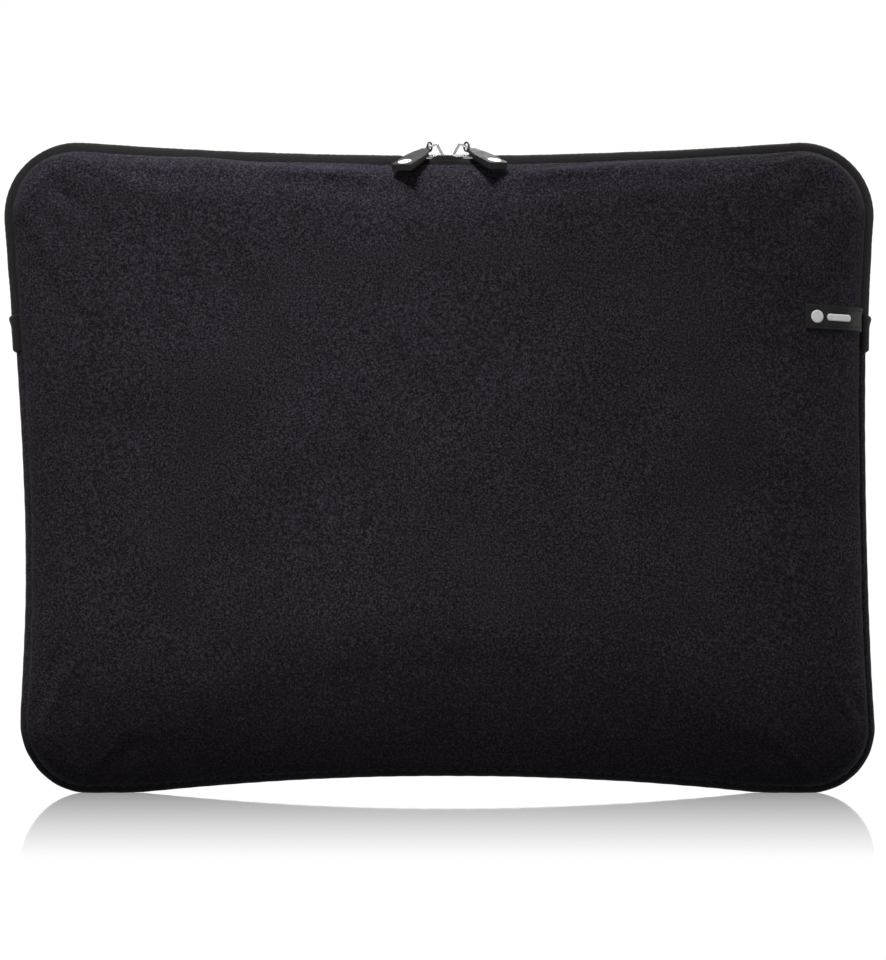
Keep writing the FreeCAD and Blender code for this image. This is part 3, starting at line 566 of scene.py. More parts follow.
def gusset():
    """The strip between the panels below the zip, with its plush strip inside."""
    outer = crown(SEAM_HALF - 0.06, 0, 3.2, 4.1, 22)
    inner = [(y, GUSSET_WALL + 0.5 * (abs(y) / SEAM_HALF) ** 6) for y in np.linspace(6.3, -6.3, 9)]
    made = banded("bottom_gusset_strip", stations(2.3, upper=False), outer + inner, gusset_wobble)
    piece(made, "sleeve", "neoprene", ("bottom_gusset",), "neoprene_strip")
    pile = crown(4.8, 4.2, 6, 0.9, 12) + [(y, 5.3) for y in np.linspace(4.6, -4.6, 6)]
    made = banded("gusset_plush", stations(4.6, upper=False), pile)
    piece(made, "sleeve", "plush_lining", ("gusset_lining",))


def bindings():
    """Tape folded over each seam allowance inside."""
    for facing, word in ((-1, "front"), (1, "back")):
        fold = [(6.4, 4.5), (6.42, 7.0), (6.3, 7.7), (6.0, 8.0),
                (5.5, 8.0), (5.2, 7.7), (5.08, 7.0), (5.1, 4.5)]
        profile = [(facing * y, inset) for y, inset in fold]
        made = banded(f"{word}_binding_tape", stations(4.6), profile)
        piece(made, "sleeve", "woven_tape", (f"{word}_seam_binding",))


COIL_PITCH, COIL_STEPS, WIRE = 1.5, 12, 0.33
COIL_HALF, COIL_CENTRE, COIL_INSET, COIL_TALL = 1.40, 1.27, 2.24, 0.74
PART_HALF, PART_RAMP = 8.2, 3.0
FREE_EDGE, FREE_RAMP = 6.2, 2.5
TAPE_RISE, RISE_FROM, RISE_RAMP = 1.2, 14, 5
BUCKLE_HALF, BUCKLE_SHIFT, BUCKLE_RISE = 6.0, 0.6, 2.3
BUCKLE_AT, BUCKLE_WIDE = 5.35, 0.85


def parting(x, z):
    """How far the halves of the zip stand apart, from 0 to 1, near where the sliders meet."""
    if z < TOP_RUN_ABOVE:
        return 0.0
    return clamped((PART_HALF - abs(x - MEET_AT)) / PART_RAMP)


def tape_wobble(y, inset, distance, place):
    """The tapes ripple, stand higher away from the sliders, and part and buckle up between them."""
    side, off = math.copysign(1, y), abs(y)
    free = clamped((FREE_EDGE - off) / FREE_RAMP)
    inset -= TAPE_RISE * free * clamped((abs(place[0] - MEET_AT) - RISE_FROM) / RISE_RAMP)
    inset += free * 0.13 * wave(place[0], place[1] + 40 * side, 7, 5)
    inset += 0.05 * free * math.sin(math.tau * distance / 3.1 + 1.4 * side)
    apart = parting(place[0], place[1])
    off += 1.4 * apart * max(0.0, 1 - off / 4.2)
    if place[1] > TOP_RUN_ABOVE:
        along = max(0.0, 1 - (abs(place[0] - MEET_AT + BUCKLE_SHIFT) / BUCKLE_HALF) ** 4)
        inset -= BUCKLE_RISE * along * max(0.0, 1 - ((off - BUCKLE_AT) / BUCKLE_WIDE) ** 2)
    return side * off, inset


def tapes():
    """Woven tapes over the coil, bowed from the middle of the zip down into each seam."""
    upper = [(6.46, 4.3), (6.38, 3.4), (6.2, 2.7), (5.9, 2.1), (5.55, 1.7), (5.15, 1.35), (4.75, 1.05),
             (4.2, 0.78), (3.4, 0.55), (2.4, 0.36), (1.4, 0.27), (0.6, 0.26), (0.22, 0.32), (0.1, 0.5)]
    lower = [(0.1, 0.9), (0.3, 1.05), (1.4, 1.08), (2.6, 1.1), (3.6, 1.3), (4.5, 1.75), (5.2, 2.3),
             (5.7, 3.0), (5.84, 3.8), (5.9, 4.4), (6.2, 4.5)]
    for facing, word in ((-1, "front"), (1, "back")):
        profile = [(facing * y, inset) for y, inset in upper + lower]
        made = banded(f"{word}_zip_tape", stations(1.5, upper=True), profile, tape_wobble)
        piece(made, "sleeve", "woven_tape", (f"zip_tape_{word}",))


def coils():
    """Two interlocking nylon coils, each a flattened helix sewn along its tape."""
    part = stations(1.0, upper=True)
    turns = int(part[2][-1] / COIL_PITCH) - 1
    for facing, word in ((-1, "front"), (1, "back")):
        path = []
        for index in range(turns * COIL_STEPS + 1):
            turn = index / COIL_STEPS
            distance = (turn + 0.25 * facing + 0.9) * COIL_PITCH
            x, z, nx, nz = walk(part, distance)
            angle = math.tau * turn
            apart = parting(x, z)
            wide = COIL_HALF - 0.35 * apart
            centre = COIL_CENTRE + 1.30 * apart
            across = math.cos(angle)
            across = math.copysign(abs(across) ** 0.8, across)
            y = facing * (centre - wide * across)
            inset = COIL_INSET - COIL_TALL * math.sin(angle)
            path.append((x + nx * inset, y, z + nz * inset))
        points, faces = tube(settle(path), WIRE)
        made = new_object(f"{word}_coil", points, faces)
        piece(made, "sleeve", "nylon_coil", (f"zip_coil_{word}",))


SEAM_THREAD, STITCH_LONG = 0.24, 3.0
THREAD_DEPTH, THREAD_INSET, THREAD_DIVE = 6.56, 3.05, 1.3


def seam_threads():
    """Lockstitches lying in the seam valleys, each diving into the seam at its ends."""
    part = stations(0.5)
    for facing, word in ((-1, "front"), (1, "back")):
        parts = []
        for number in range(int(part[2][-1] / STITCH_PITCH)):
            middle = (number + 0.5) * STITCH_PITCH
            path = []
            for step in range(7):
                share = step / 6 - 0.5
                x, z, nx, nz = walk(part, middle + share * STITCH_LONG)
                inset = THREAD_INSET + THREAD_DIVE * (2 * share) ** 4
                path.append((x + nx * inset, facing * THREAD_DEPTH, z + nz * inset))
            parts.append(tube(path, SEAM_THREAD))
        points, faces = gathered(parts)
        made = new_object(f"{word}_seam_thread", settle(points), faces)
        piece(made, "sleeve", "neoprene", (), "thread")


TAB_LOW, TAB_HIGH, TAB_LIFT = 178.7, 194.3, 1.35
TAB_SKIN = 0.4
TAB_FOLD, FOLD_SHARE = 0.95, 0.07
KNOB_AT, KNOB_TALL, KNOB_HALF, KNOB_RISE = 192.3, 1.9, 5.5, 0.85


def end_tabs():
    """Fabric tabs folded over the two ends of the zip, caught in both seams, with a fold that stands up."""
    outline, inwards, along = stations(0.8)
    for word, sign in (("left", -1), ("right", 1)):
        near = (outline[:, 0] * sign > 0) & (outline[:, 1] > TAB_LOW) & (outline[:, 1] < TAB_HIGH)
        part = (outline[near], inwards[near], along[near])
        low, high = part[2].min(), part[2].max()
        profile = [(y, inset - TAB_LIFT) for y, inset in crown(6.45, 0, 3.4, 4.6, 20)]
        profile += [(y, 0.5) for y in np.linspace(5.4, -5.4, 5)]

        def fold(y, inset, distance, place):
            share = (distance - low) / (high - low)
            end = max(0.0, 1 - min(share, 1 - share) / FOLD_SHARE)
            knob = math.exp(-(((place[1] - KNOB_AT) / KNOB_TALL) ** 2)) * max(0.0, 1 - (y / KNOB_HALF) ** 2)
            if inset < TAB_SKIN:
                inset += TAB_FOLD * end**2 - KNOB_RISE * knob + 0.08 * wave(y * 3, place[1] * 3, 6, 21)
            return y, inset

        made = banded(f"zip_end_tab_{word}_fold", part, profile, fold)
        piece(made, "sleeve", "woven_tape", (f"zip_end_tab_{word}",))


# -------- the label


LABEL_FROM, LABEL_HEIGHT = 146.5, 192.8
LABEL_LONG, LABEL_TALL, LABEL_WALL = 31.0, 9.8, 0.9
LABEL_TILT = math.radians(2.6)
LABEL_ROWS, LABEL_COLUMNS = 21, 63
SEARCH_START, SEARCH_STEP, SEARCH_COUNT = 0.4, 0.25, 140
TURN_BEFORE, TURN_LONG = 13.0, 18.0
LABEL_UNDER = 0.25
RIM_ROUND, RIM_DROP = 0.55, 0.28
FIELD_FROM, FIELD_RAMP, FIELD_SUNK = 0.85, 0.35, 0.24
LABEL_THREAD, THREAD_IN, THREAD_LONG, THREAD_PITCH = 0.17, 1.55, 1.35, 2.15
DOT_AT, DOT_RADIUS = 5.2, 2.6
BAR_FROM, BAR_TO, BAR_HALF = 9.5, 20.5, 1.4
MARK_LIFT, MARK_ROOT = 0.26, -0.15


def label_surface(front_surface):
    """Rows of points and outward directions where the label lies on the front, wrapping to the seam."""
    skin = BVHTree.FromPolygons([tuple(point) for point in front_surface], shell_faces())
    side = RINGS[0][:SIDE_STEPS + 1]
    side = settle(np.column_stack([side[:, 0], np.zeros(len(side)), side[:, 1]]))
    rows = []
    for row in range(LABEL_ROWS):
        local = (row / (LABEL_ROWS - 1) - 0.5) * LABEL_TALL
        line = []
        for step in range(SEARCH_COUNT):
            x = LABEL_FROM - SEARCH_START + step * SEARCH_STEP
            z = LABEL_HEIGHT + local - (x - LABEL_FROM) * math.tan(LABEL_TILT)
            edge = np.interp(z, side[:, 2], side[:, 0]) - SEAM_INSET
            turn_from = edge - TURN_BEFORE
            if x <= turn_from:
                origin, towards = Vector((x, -60, z)), Vector((0, 1, 0))
            else:
                angle = min(math.pi / 2, (x - turn_from) / TURN_LONG * math.pi / 2)
                towards = -Vector((math.sin(angle), -math.cos(angle), 0))
                origin = Vector((turn_from, -7.0, z)) - towards * 40
            hit, _, _, _ = skin.ray_cast(origin, towards)
            if hit is not None:
                line.append((*hit, *(-towards)))
        line = spaced(np.array(line), 200)
        along = lengths(line[:, :3])
        wanted = np.linspace(0, min(LABEL_LONG, along[-1]), LABEL_COLUMNS)
        rows.append(np.column_stack([np.interp(wanted, along, line[:, axis]) for axis in range(6)]))
    return np.array(rows)


def label(front_surface):
    """The moulded label with its stitches, and the dot and bar raised on it."""
    surface = label_surface(front_surface)
    rows, columns = surface.shape[:2]
    place, outward = surface[:, :, :3], surface[:, :, 3:]
    tangent_u = np.gradient(place, axis=1)
    tangent_v = np.gradient(place, axis=0)
    normal = np.cross(tangent_v, tangent_u)
    normal /= np.linalg.norm(normal, axis=2)[:, :, None]
    if (normal[10, 10] @ outward[10, 10]) < 0:
        normal = -normal
    step_v = LABEL_TALL / (rows - 1)
    step_u = LABEL_LONG / (columns - 1)

    def height_at(row, column):
        """Raised rim round a sunk field."""
        edge = min(row * step_v, (rows - 1 - row) * step_v, column * step_u)
        rounded = RIM_DROP * max(0.0, 1 - edge / RIM_ROUND) ** 2
        field = FIELD_SUNK * clamped((edge - FIELD_FROM) / FIELD_RAMP)
        return LABEL_WALL - rounded - field

    top = np.array([[place[r, c] + normal[r, c] * height_at(r, c) for c in range(columns)]
                    for r in range(rows)])
    under = place - normal * LABEL_UNDER
    count = rows * columns
    faces = grid_faces(rows, columns) + grid_faces(rows, columns, count)
    border = [(0, c) for c in range(columns)] + [(r, columns - 1) for r in range(1, rows)]
    border += [(rows - 1, c) for c in range(columns - 2, -1, -1)]
    border += [(r, 0) for r in range(rows - 2, 0, -1)]
    for index, (r, c) in enumerate(border):
        r2, c2 = border[(index + 1) % len(border)]
        a, b = r * columns + c, r2 * columns + c2
        faces.append((a, b, count + b, count + a))
    made = new_object("side_label_patch", np.vstack([top.reshape(-1, 3), under.reshape(-1, 3)]), faces)
    smoothed(made)
    piece(made, "sleeve", "moulded_label", ("side_label",))

    def at(u, v, lift):
        """A point on the label: u from its free end, v from its middle, lift above its field."""
        column, row = u / step_u, (v + LABEL_TALL / 2) / step_v
        c, r = min(columns - 2, int(column)), min(rows - 2, max(0, int(row)))
        fc, fr = column - c, row - r
        height = LABEL_WALL - FIELD_SUNK + lift
        spot = np.zeros(3)
        for dr, dc, weight in ((0, 0, (1 - fr) * (1 - fc)), (1, 0, fr * (1 - fc)),
                               (0, 1, (1 - fr) * fc), (1, 1, fr * fc)):
            spot += weight * (place[r + dr, c + dc] + normal[r + dr, c + dc] * height)
        return spot

    label_stitches(at)
    label_dot(at)
    label_bar(at)


def label_stitches(at):
    """Stitches along the label's two long edges and its free end."""
    parts = []
    line = LABEL_TALL / 2 - THREAD_IN
    marks = [((u, side * line), (u + THREAD_LONG, side * line))
             for side in (-1, 1) for u in np.arange(1.5, 27.5, THREAD_PITCH)]
    marks += [((1.45, v), (1.45, v + 1.3)) for v in (-2.9, -0.65, 1.6)]
    for (u0, v0), (u1, v1) in marks:
        path = [at(u0 + (u1 - u0) * t, v0 + (v1 - v0) * t, 0.10 - 0.30 * abs(2 * t - 1) ** 3)
                for t in np.linspace(0, 1, 6)]
        parts.append(tube(path, LABEL_THREAD))
    points, faces = gathered(parts)
    piece(new_object("side_label_stitches", points, faces), "sleeve", "moulded_label", (), "thread")


def label_dot(at):
    """The label's round mark, with a rounded edge."""
    points = []
    for shrink, lift in ((0.0, MARK_ROOT), (0.0, 0.10), (0.06, 0.19), (0.2, 0.24), (0.9, MARK_LIFT)):
        radius = DOT_RADIUS - shrink
        points += [at(DOT_AT + radius * math.cos(turn), radius * math.sin(turn), lift) for turn in ROUND]
    points += [at(DOT_AT, 0.0, MARK_LIFT), at(DOT_AT, 0.0, MARK_ROOT)]
    n = len(ROUND)
    faces = grid_faces(5, n, wrap_columns=True)
    faces += [(4 * n + i, 4 * n + (i + 1) % n, 5 * n) for i in range(n)]
    faces += [((i + 1) % n, i, 5 * n + 1) for i in range(n)]
    piece(new_object("label_dot", np.array(points), faces), "sleeve", "white_mark", ("label_mark_dot",))


def label_bar(at):
    """The label's bar: a capsule whose ribs run straight across it."""
    points = []
    steps = 44
    for step in range(steps + 1):
        u = BAR_FROM + (BAR_TO - BAR_FROM) * step / steps
        into = min(u - BAR_FROM, BAR_TO - u)
        half = BAR_HALF
        if into < BAR_HALF:
            half = max(0.05, math.sqrt(max(0.0, BAR_HALF**2 - (BAR_HALF - into) ** 2)))
        for k in range(13):
            v = -1 + 2 * k / 12
            edge = half * (1 - abs(v))
            lift = MARK_LIFT - 0.12 * max(0.0, 1 - edge / 0.25) ** 2
            points.append(at(u, half * v, lift))
        points += [at(u, half, MARK_ROOT), at(u, -half, MARK_ROOT)]
    columns = 15
    faces = grid_faces(steps + 1, columns, wrap_columns=True)
    faces += [tuple(range(columns)), tuple(range(steps * columns, (steps + 1) * columns))]
    piece(new_object("label_bar", np.array(points), faces), "sleeve", "white_mark", ("label_mark_bar",))


# -------- pulls


# for each pull: its bail bar, the side it points to, and how far it turns outwards and hangs down
PULLS = {
    "left": ((-4.5, 0.0, 262.383), -1, 31.0, 22.5),
    "right": ((10.5, 0.0, 262.403), 1, 34.8, 20.6),
}
PULL_ROLL = 3.0
BEZEL_AT, BEZEL_RADIUS, BEZEL_LIFT, BEZEL_WIRE = 20.7, 2.95, 0.57, 0.17
GRIP_CORNER = 0.42
PARTING_LINE = 0.07


def pull_matrix(word):
    """A pull's own directions: X along the grip, Z out of its upper face."""
    pivot, outwards, yaw, droop = PULLS[word]
    yaw, droop = math.radians(yaw), math.radians(droop)
    flat = math.cos(droop)
    along = Vector((outwards * math.sin(yaw) * flat, -math.cos(yaw) * flat, -math.sin(droop)))
    across = Vector((0, 0, 1)).cross(along).normalized()
    up = along.cross(across)
    turn = Matrix((along, across, up)).transposed().to_4x4()
    roll = Matrix.Rotation(math.radians(outwards * PULL_ROLL), 4, "X")
    return Matrix.Translation(Vector(pivot)) @ turn @ roll


# the grip's outline: distance from the bar, half width, upper and lower face
GRIP = [
    (3.0, 1.75, 0.2, -0.75), (3.08, 2.02, 0.42, -1.0), (3.35, 2.18, 0.55, -1.15), (5.0, 2.2, 0.6, -1.2),
    (6.0, 2.72, 0.6, -1.2), (7.4, 3.5, 0.6, -1.2), (9.0, 3.98, 0.6, -1.2), (10.8, 4.4, 0.6, -1.35),
    (12.6, 4.68, 0.6, -1.5), (14.0, 4.7, 0.6, -1.62), (17.0, 4.7, 0.6, -1.87), (20.5, 4.7, 0.6, -2.16),
    (23.0, 4.7, 0.6, -2.2), (23.5, 4.62, 0.6, -2.2), (23.9, 4.45, 0.58, -2.18), (24.14, 4.2, 0.52, -2.12),
    (24.26, 3.95, 0.4, -2.0), (24.3, 3.7, 0.22, -1.82),
]


def grip_section(half, top, bottom):
    """A rounded bar's section with a fine parting line half way up each side."""
    corner = min(GRIP_CORNER, half * 0.3, (top - bottom) * 0.25)
    middle = (top + bottom) / 2
    line = []
    for quarter, (sign_y, sign_z) in enumerate(((1, 1), (-1, 1), (-1, -1), (1, -1))):
        z_edge = top if sign_z > 0 else bottom
        centre = (sign_y * (half - corner), z_edge - sign_z * corner)
        for step in range(5):
            turn = math.radians(90 * quarter + 22.5 * step)
            line.append((centre[0] + corner * math.cos(turn), centre[1] + corner * math.sin(turn)))
        if sign_y * sign_z < 0:
            for off, bump in ((0.16, 0.0), (0.05, PARTING_LINE), (-0.05, PARTING_LINE), (-0.16, 0.0)):
                line.append((sign_y * (half + bump), middle - sign_y * off))
        else:
            for share in (0.66, 0.33, 0.0, -0.33, -0.66):
                line.append((sign_z * share * (half - corner), z_edge))
    return line


def grips():
    """The rubber grips, each with a raised ring round its inlay."""
    for word in PULLS:
        place = pull_matrix(word)
        points = []
        for x, half, top, bottom in GRIP:
            section = grip_section(half, top, bottom)
            points += [place @ Vector((x, y, z)) for y, z in section]
        columns = len(section)
        faces = grid_faces(len(GRIP), columns, wrap_columns=True)
        for end in (0, len(GRIP) - 1):
            x, half, top, bottom = GRIP[end]
            points.append(place @ Vector((x, 0, (top + bottom) / 2)))
            tip = len(points) - 1
            faces += [(end * columns + k, end * columns + (k + 1) % columns, tip) for k in range(columns)]
        points = np.array([tuple(point) for point in points])
        ring = [tuple(place @ Vector((BEZEL_AT + BEZEL_RADIUS * math.cos(turn),
                                      BEZEL_RADIUS * math.sin(turn), BEZEL_LIFT))) for turn in ROUND]
        points, faces = gathered([(points, faces), tube(ring, BEZEL_WIRE, closed=True)])
        made = new_object(f"pull_{word}_rubber", points, faces)
        smoothed(made)
        piece(made, f"pull_{word}", "black_rubber", (f"pull_{word}_grip",))


# -------- materials


MATERIALS = {}


class Nodes:
    """A node tree that is built with short calls."""

    def __init__(self, name):
        self.material = bpy.data.materials.new(name)
        self.material.use_nodes = True
        self.tree = self.material.node_tree
        self.shader = self.tree.nodes["Principled BSDF"]
        MATERIALS[name] = self.material

    def add(self, kind, settings=None, **inputs):
        made = self.tree.nodes.new("ShaderNode" + kind)
        for name, value in (settings or {}).items():
            setattr(made, name, value)
        for name, value in inputs.items():
            self.put(made.inputs[name.replace("_", " ")], value)
        return made

    def put(self, socket, value):
        if isinstance(value, bpy.types.NodeSocket):
            self.tree.links.new(value, socket)
        else:
            socket.default_value = value

    def place(self):
        """Where a point is on its own piece, in millimetres."""
        spot = self.add("TexCoord").outputs["Object"]
        return self.add("VectorMath", {"operation": "SCALE"}, Vector=spot, Scale=1000.0).outputs["Vector"]

    def noise(self, place, scale, detail=2.0, roughness=0.5):
        return self.add("TexNoise", None, Vector=place, Scale=scale, Detail=detail,
                        Roughness=roughness).outputs["Fac"]

    def ramp(self, factor, *stops):
        made = self.add("ValToRGB", None, Fac=factor)
        ramp = made.color_ramp
        while len(ramp.elements) < len(stops):
            ramp.elements.new(1.0)
        for element, (where, colour) in zip(ramp.elements, stops):
            element.position = where
            element.color = (*colour, 1.0) if hasattr(colour, "__len__") else (colour, colour, colour, 1.0)
        return made.outputs["Color"]

    def maths(self, operation, a, b=0.0):
        made = self.add("Math", {"operation": operation})
        self.put(made.inputs[0], a)
        self.put(made.inputs[1], b)
        return made.outputs[0]

    def bump(self, height, distance, strength=1.0, under=None):
        made = self.add("Bump", None, Height=height, Distance=distance, Strength=strength)
        if under is not None:
            self.put(made.inputs["Normal"], under)
        return made.outputs["Normal"]

    def finish(self, **sockets):
        for name, value in sockets.items():
            self.put(self.shader.inputs[name.replace("_", " ")], value)


def knit(name, dark, light, sheen):
    """Brushed jersey over foam: fine loops, light fibre specks, slow unevenness, and painted shade that
    darkens it towards the foot.
    """
    nodes = Nodes(name)
    place = nodes.place()
    specks = nodes.noise(place, 1.15, 2.0, 0.6)
    fine = nodes.noise(place, 2.6, 2.0, 0.6)
    slow = nodes.noise(place, 0.035, 2.0)
    mixed = nodes.maths("MULTIPLY", nodes.maths("ADD", nodes.maths("MULTIPLY", specks, 1.25), fine), 0.444)
    middle = tuple(0.7 * a + 0.3 * b for a, b in zip(dark, light))
    tone = nodes.ramp(mixed, (0.42, dark), (0.52, middle), (0.64, light))
    parts = nodes.add("SeparateXYZ", None, Vector=place)
    # painted shade: the colour darkens towards the foot, to 0.6 at 14 mm up and full from 54 mm; shade
    # multiplies this painted shade with the slow unevenness
    painted_shade_height = nodes.maths("DIVIDE", parts.outputs["Z"], 100.0)
    shade = nodes.maths("MULTIPLY", nodes.ramp(slow, (0.3, 0.86), (0.7, 1.1)),
                        nodes.ramp(painted_shade_height, (0.14, 0.6), (0.54, 1.0)))
    colour = nodes.add("Mix", {"data_type": "RGBA", "blend_type": "MULTIPLY"})
    nodes.put(colour.inputs["Factor"], 1.0)
    nodes.put(colour.inputs["A"], tone)
    nodes.put(colour.inputs["B"], shade)
    column = nodes.maths("SINE", nodes.maths("MULTIPLY", parts.outputs["X"], math.tau / 0.62))
    row = nodes.maths("SINE", nodes.maths("MULTIPLY", parts.outputs["Z"], math.tau / 0.48))
    loops = nodes.maths("MULTIPLY", column, row)
    relief = nodes.bump(loops, 0.00004, 0.5)
    relief = nodes.bump(mixed, 0.0003, 1.0, relief)
    nodes.finish(Base_Color=colour.outputs["Result"], Roughness=0.95, Normal=relief)
    nodes.finish(Sheen_Weight=sheen, Sheen_Roughness=0.5, Sheen_Tint=(0.75, 0.7, 0.85, 1.0))
    nodes.finish(Specular_IOR_Level=0.1)


def woven(name, dark, light):
    """Plain woven nylon tape: crossing yarns."""
    nodes = Nodes(name)
    place = nodes.place()
    parts = nodes.add("SeparateXYZ", None, Vector=place)
    warp = nodes.maths("SINE", nodes.maths("MULTIPLY", parts.outputs["Y"], math.tau / 0.75))
    sweep = nodes.maths("ADD", parts.outputs["X"], parts.outputs["Z"])
    weft = nodes.maths("SINE", nodes.maths("MULTIPLY", sweep, math.tau / 0.6))
    yarns = nodes.maths("MULTIPLY", warp, weft)
    grain = nodes.noise(place, 2.6, 2.0)
    mixed = nodes.maths("ADD", nodes.maths("MULTIPLY", yarns, 0.22), grain)
    tone = nodes.ramp(mixed, (0.25, dark), (0.8, light))
    relief = nodes.bump(yarns, 0.00010, 0.8)
    relief = nodes.bump(grain, 0.00008, 0.6, relief)
    nodes.finish(Base_Color=tone, Roughness=0.75, Normal=relief)
    nodes.finish(Sheen_Weight=0.1, Sheen_Roughness=0.4, Specular_IOR_Level=0.2)


def plush():
    """Short pile that lies this way and that."""
    nodes = Nodes("plush_lining")
    place = nodes.place()
    pile = nodes.noise(place, 1.1, 4.0, 0.7)
    lie = nodes.noise(place, 0.09, 2.0)
    tone = nodes.ramp(nodes.maths("MULTIPLY", nodes.maths("ADD", pile, lie), 0.5),
                      (0.35, (0.012, 0.012, 0.014)), (0.65, (0.04, 0.04, 0.045)))
    nodes.finish(Base_Color=tone, Roughness=0.95, Normal=nodes.bump(pile, 0.0005, 1.0))
    nodes.finish(Sheen_Weight=0.6, Sheen_Roughness=0.35, Specular_IOR_Level=0.1)


def plastic(name, dark, light, roughness, grain_size, relief, specular=0.5):
    """Moulded or drawn plastic with a faint grain and scuffs."""
    nodes = Nodes(name)
    place = nodes.place()
    grain = nodes.noise(place, grain_size, 3.0, 0.6)
    scuffs = nodes.noise(place, 0.45, 3.0, 0.6)
    tone = nodes.ramp(scuffs, (0.35, dark), (0.7, light))
    rough = nodes.ramp(scuffs, (0.3, roughness * 0.9), (0.7, min(1.0, roughness * 1.15)))
    nodes.finish(Base_Color=tone, Roughness=rough, Normal=nodes.bump(grain, relief, 0.6))
    nodes.finish(Specular_IOR_Level=specular)


def metal(name, colour, roughness, worn):
    """Plated metal, polished, with faint handling marks."""
    nodes = Nodes(name)
    place = nodes.place()
    marks = nodes.noise(place, 1.6, 4.0, 0.65)
    tone = nodes.ramp(marks, (0.3, tuple(part * worn for part in colour)), (0.6, colour))
    rough = nodes.ramp(marks, (0.3, roughness * 1.5), (0.7, roughness))
    nodes.finish(Base_Color=tone, Roughness=rough, Normal=nodes.bump(marks, 0.00003, 0.5))
    nodes.finish(Metallic=1.0)


def make_materials():
    knit("neoprene", (0.0055, 0.0043, 0.0068), (0.060, 0.050, 0.070), 0.03)
    knit("neoprene_strip", (0.006, 0.005, 0.007), (0.060, 0.053, 0.068), 0.10)
    plush()
    woven("woven_tape", (0.0011, 0.0011, 0.0013), (0.0095, 0.0088, 0.01))
    woven("thread", (0.005, 0.005, 0.006), (0.022, 0.022, 0.024))
    plastic("nylon_coil", (0.008, 0.008, 0.009), (0.02, 0.02, 0.022), 0.34, 3.0, 0.00003)
    plastic("moulded_label", (0.0025, 0.0025, 0.003), (0.006, 0.006, 0.007), 0.6, 2.2, 0.00006, 0.25)
    plastic("black_rubber", (0.0045, 0.0043, 0.005), (0.010, 0.0095, 0.0105), 0.6, 2.4, 0.00007, 0.3)
    plastic("white_mark", (0.82, 0.82, 0.83), (0.90, 0.90, 0.90), 0.45, 2.2, 0.00002)
    metal("bright_metal", (0.55, 0.55, 0.57), 0.2, 0.5)
    plastic("black_metal", (0.012, 0.012, 0.013), (0.03, 0.03, 0.032), 0.32, 2.0, 0.00002)


def finish_cad_nodes():
    """Metal and inlays keep their own shapes, with eased edges."""
    finishes = {
        "slider_left": ("bright_metal", 0.00022), "slider_right": ("bright_metal", 0.00022),
        "pull_left_link": ("black_metal", 0), "pull_right_link": ("black_metal", 0),
        "pull_left_dot": ("white_mark", 0.00012), "pull_right_dot": ("white_mark", 0.00012),
    }
    for name, (slot, ease) in finishes.items():
        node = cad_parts[name]
        for index in range(max(1, len(node.material_slots))):
            if not node.material_slots:
                node.data.materials.append(MATERIALS[slot])
            node.material_slots[index].material = MATERIALS[slot]
        if ease:
            bevel = node.modifiers.new("ease", "BEVEL")
            bevel.width = ease
            bevel.segments = 3
            bevel.limit_method = "ANGLE"
            bevel.angle_limit = math.radians(30)
            bevel.harden_normals = True


# -------- surroundings


FLOOR_HALF = 60000
FLOOR_GLOSS, GLOSS_REACH = 0.70, 270.0
CAMERA_AT, CAMERA_LENS = (0.93 * MM, -1.5, 127 * MM), 138.4


def sky():
    """Light by height alone: dark below, a white band at the horizon, dim above."""
    world = bpy.data.worlds.new("studio")
    SCENE.world = world
    world.use_nodes = True
    nodes, links = world.node_tree.nodes, world.node_tree.links
    spot = nodes.new("ShaderNodeTexCoord")
    parts = nodes.new("ShaderNodeSeparateXYZ")
    height = nodes.new("ShaderNodeMapRange")
    ramp = nodes.new("ShaderNodeValToRGB")
    background = nodes["Background"]
    height.inputs["From Min"].default_value = -1
    background.inputs["Strength"].default_value = 1.05
    links.new(spot.outputs["Generated"], parts.inputs["Vector"])
    links.new(parts.outputs["Z"], height.inputs["Value"])
    links.new(height.outputs["Result"], ramp.inputs["Fac"])
    links.new(ramp.outputs["Color"], background.inputs["Color"])
    shades = ((0.0, 0.01), (0.488, 0.01), (0.495, 1.0), (0.575, 1.0), (0.62, 0.1))
    while len(ramp.color_ramp.elements) < len(shades):
        ramp.color_ramp.elements.new(1.0)
    for element, (where, shade) in zip(ramp.color_ramp.elements, shades):
        element.position = where
        element.color = (shade, shade, shade, 1)


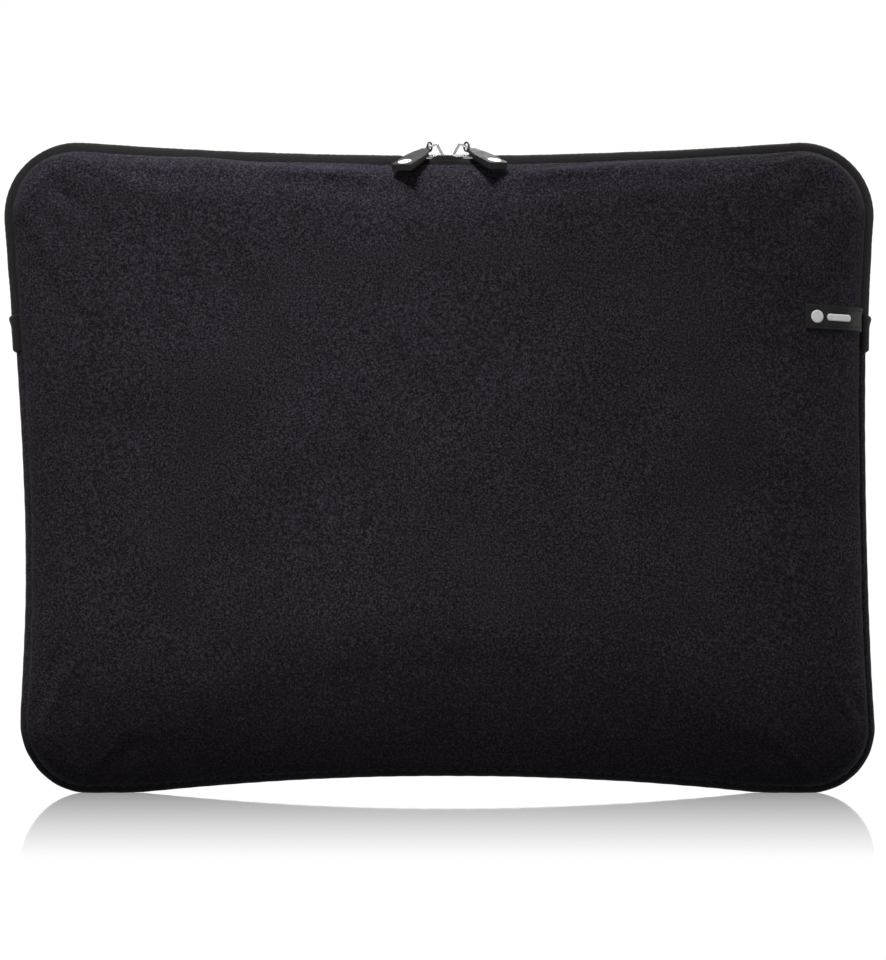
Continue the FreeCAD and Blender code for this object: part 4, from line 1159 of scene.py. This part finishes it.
def floor():
    """A white table, glossy near the sleeve."""
    far = FLOOR_HALF
    made = new_object("floor", [(-far, -far, 0), (far, -far, 0), (far, far, 0), (-far, far, 0)],
                      [(0, 1, 2, 3)], flat=True)
    nodes = Nodes("floor")
    parts = nodes.add("SeparateXYZ", None, Vector=nodes.place())
    away = nodes.maths("DIVIDE", nodes.maths("ABSOLUTE", parts.outputs["Y"]), GLOSS_REACH)
    white = nodes.add("Emission", None, Color=(1.0, 1.0, 1.0, 1.0), Strength=1.02)
    mirror = nodes.add("BsdfGlossy", None, Color=(1.0, 1.0, 1.0, 1.0), Roughness=0.04)
    both = nodes.add("MixShader", None, Fac=nodes.ramp(away, (0.0, FLOOR_GLOSS), (1.0, 0.0)))
    nodes.put(both.inputs[1], white.outputs[0])
    nodes.put(both.inputs[2], mirror.outputs[0])
    nodes.put(nodes.tree.nodes["Material Output"].inputs["Surface"], both.outputs[0])
    made.data.materials.append(nodes.material)
    made.visible_diffuse = False


def lamps():
    """A soft key from above and in front, and two dim lamps for the right and back edges."""
    for name, kind, place, energy, size, aim in (
        ("key", "SPOT", (-0.2, -0.5, 1.3), 108, 0.2, (-0.06, 0, 0.17)),
        ("right", "AREA", (1.5, 0.15, 0.6), 6, 0.6, (0, 0, 0.15)),
        ("back", "AREA", (0.3, 1.0, 1.1), 12, 0.8, (0, 0, 0.13)),
    ):
        lamp = bpy.data.lights.new(name, kind)
        lamp.energy = energy
        if kind == "SPOT":
            lamp.shadow_soft_size = size
            lamp.spot_size = math.radians(31)
            lamp.spot_blend = 1.0
        else:
            lamp.size = size
        made = bpy.data.objects.new(name, lamp)
        made.location = place
        made.rotation_euler = (Vector(aim) - Vector(place)).to_track_quat("-Z", "Y").to_euler()
        SCENE.collection.objects.link(made)


def camera():
    """A long lens, level and square to the front."""
    lens = bpy.data.cameras.new("camera")
    lens.lens = CAMERA_LENS
    lens.clip_end = 200
    made = bpy.data.objects.new("camera", lens)
    made.location = CAMERA_AT
    made.rotation_euler = (math.pi / 2, 0, 0)
    SCENE.collection.objects.link(made)
    bpy.context.scene.camera = made


def surroundings():
    SCENE.view_settings.view_transform = "Standard"
    SCENE.view_settings.look = "None"
    sky()
    floor()
    lamps()
    camera()


make_materials()
surroundings()
front_surface = panel_pair(-1, "front")
panel_pair(1, "back")
gusset()
bindings()
tapes()
coils()
seam_threads()
end_tabs()
label(front_surface)
grips()
finish_cad_nodes()
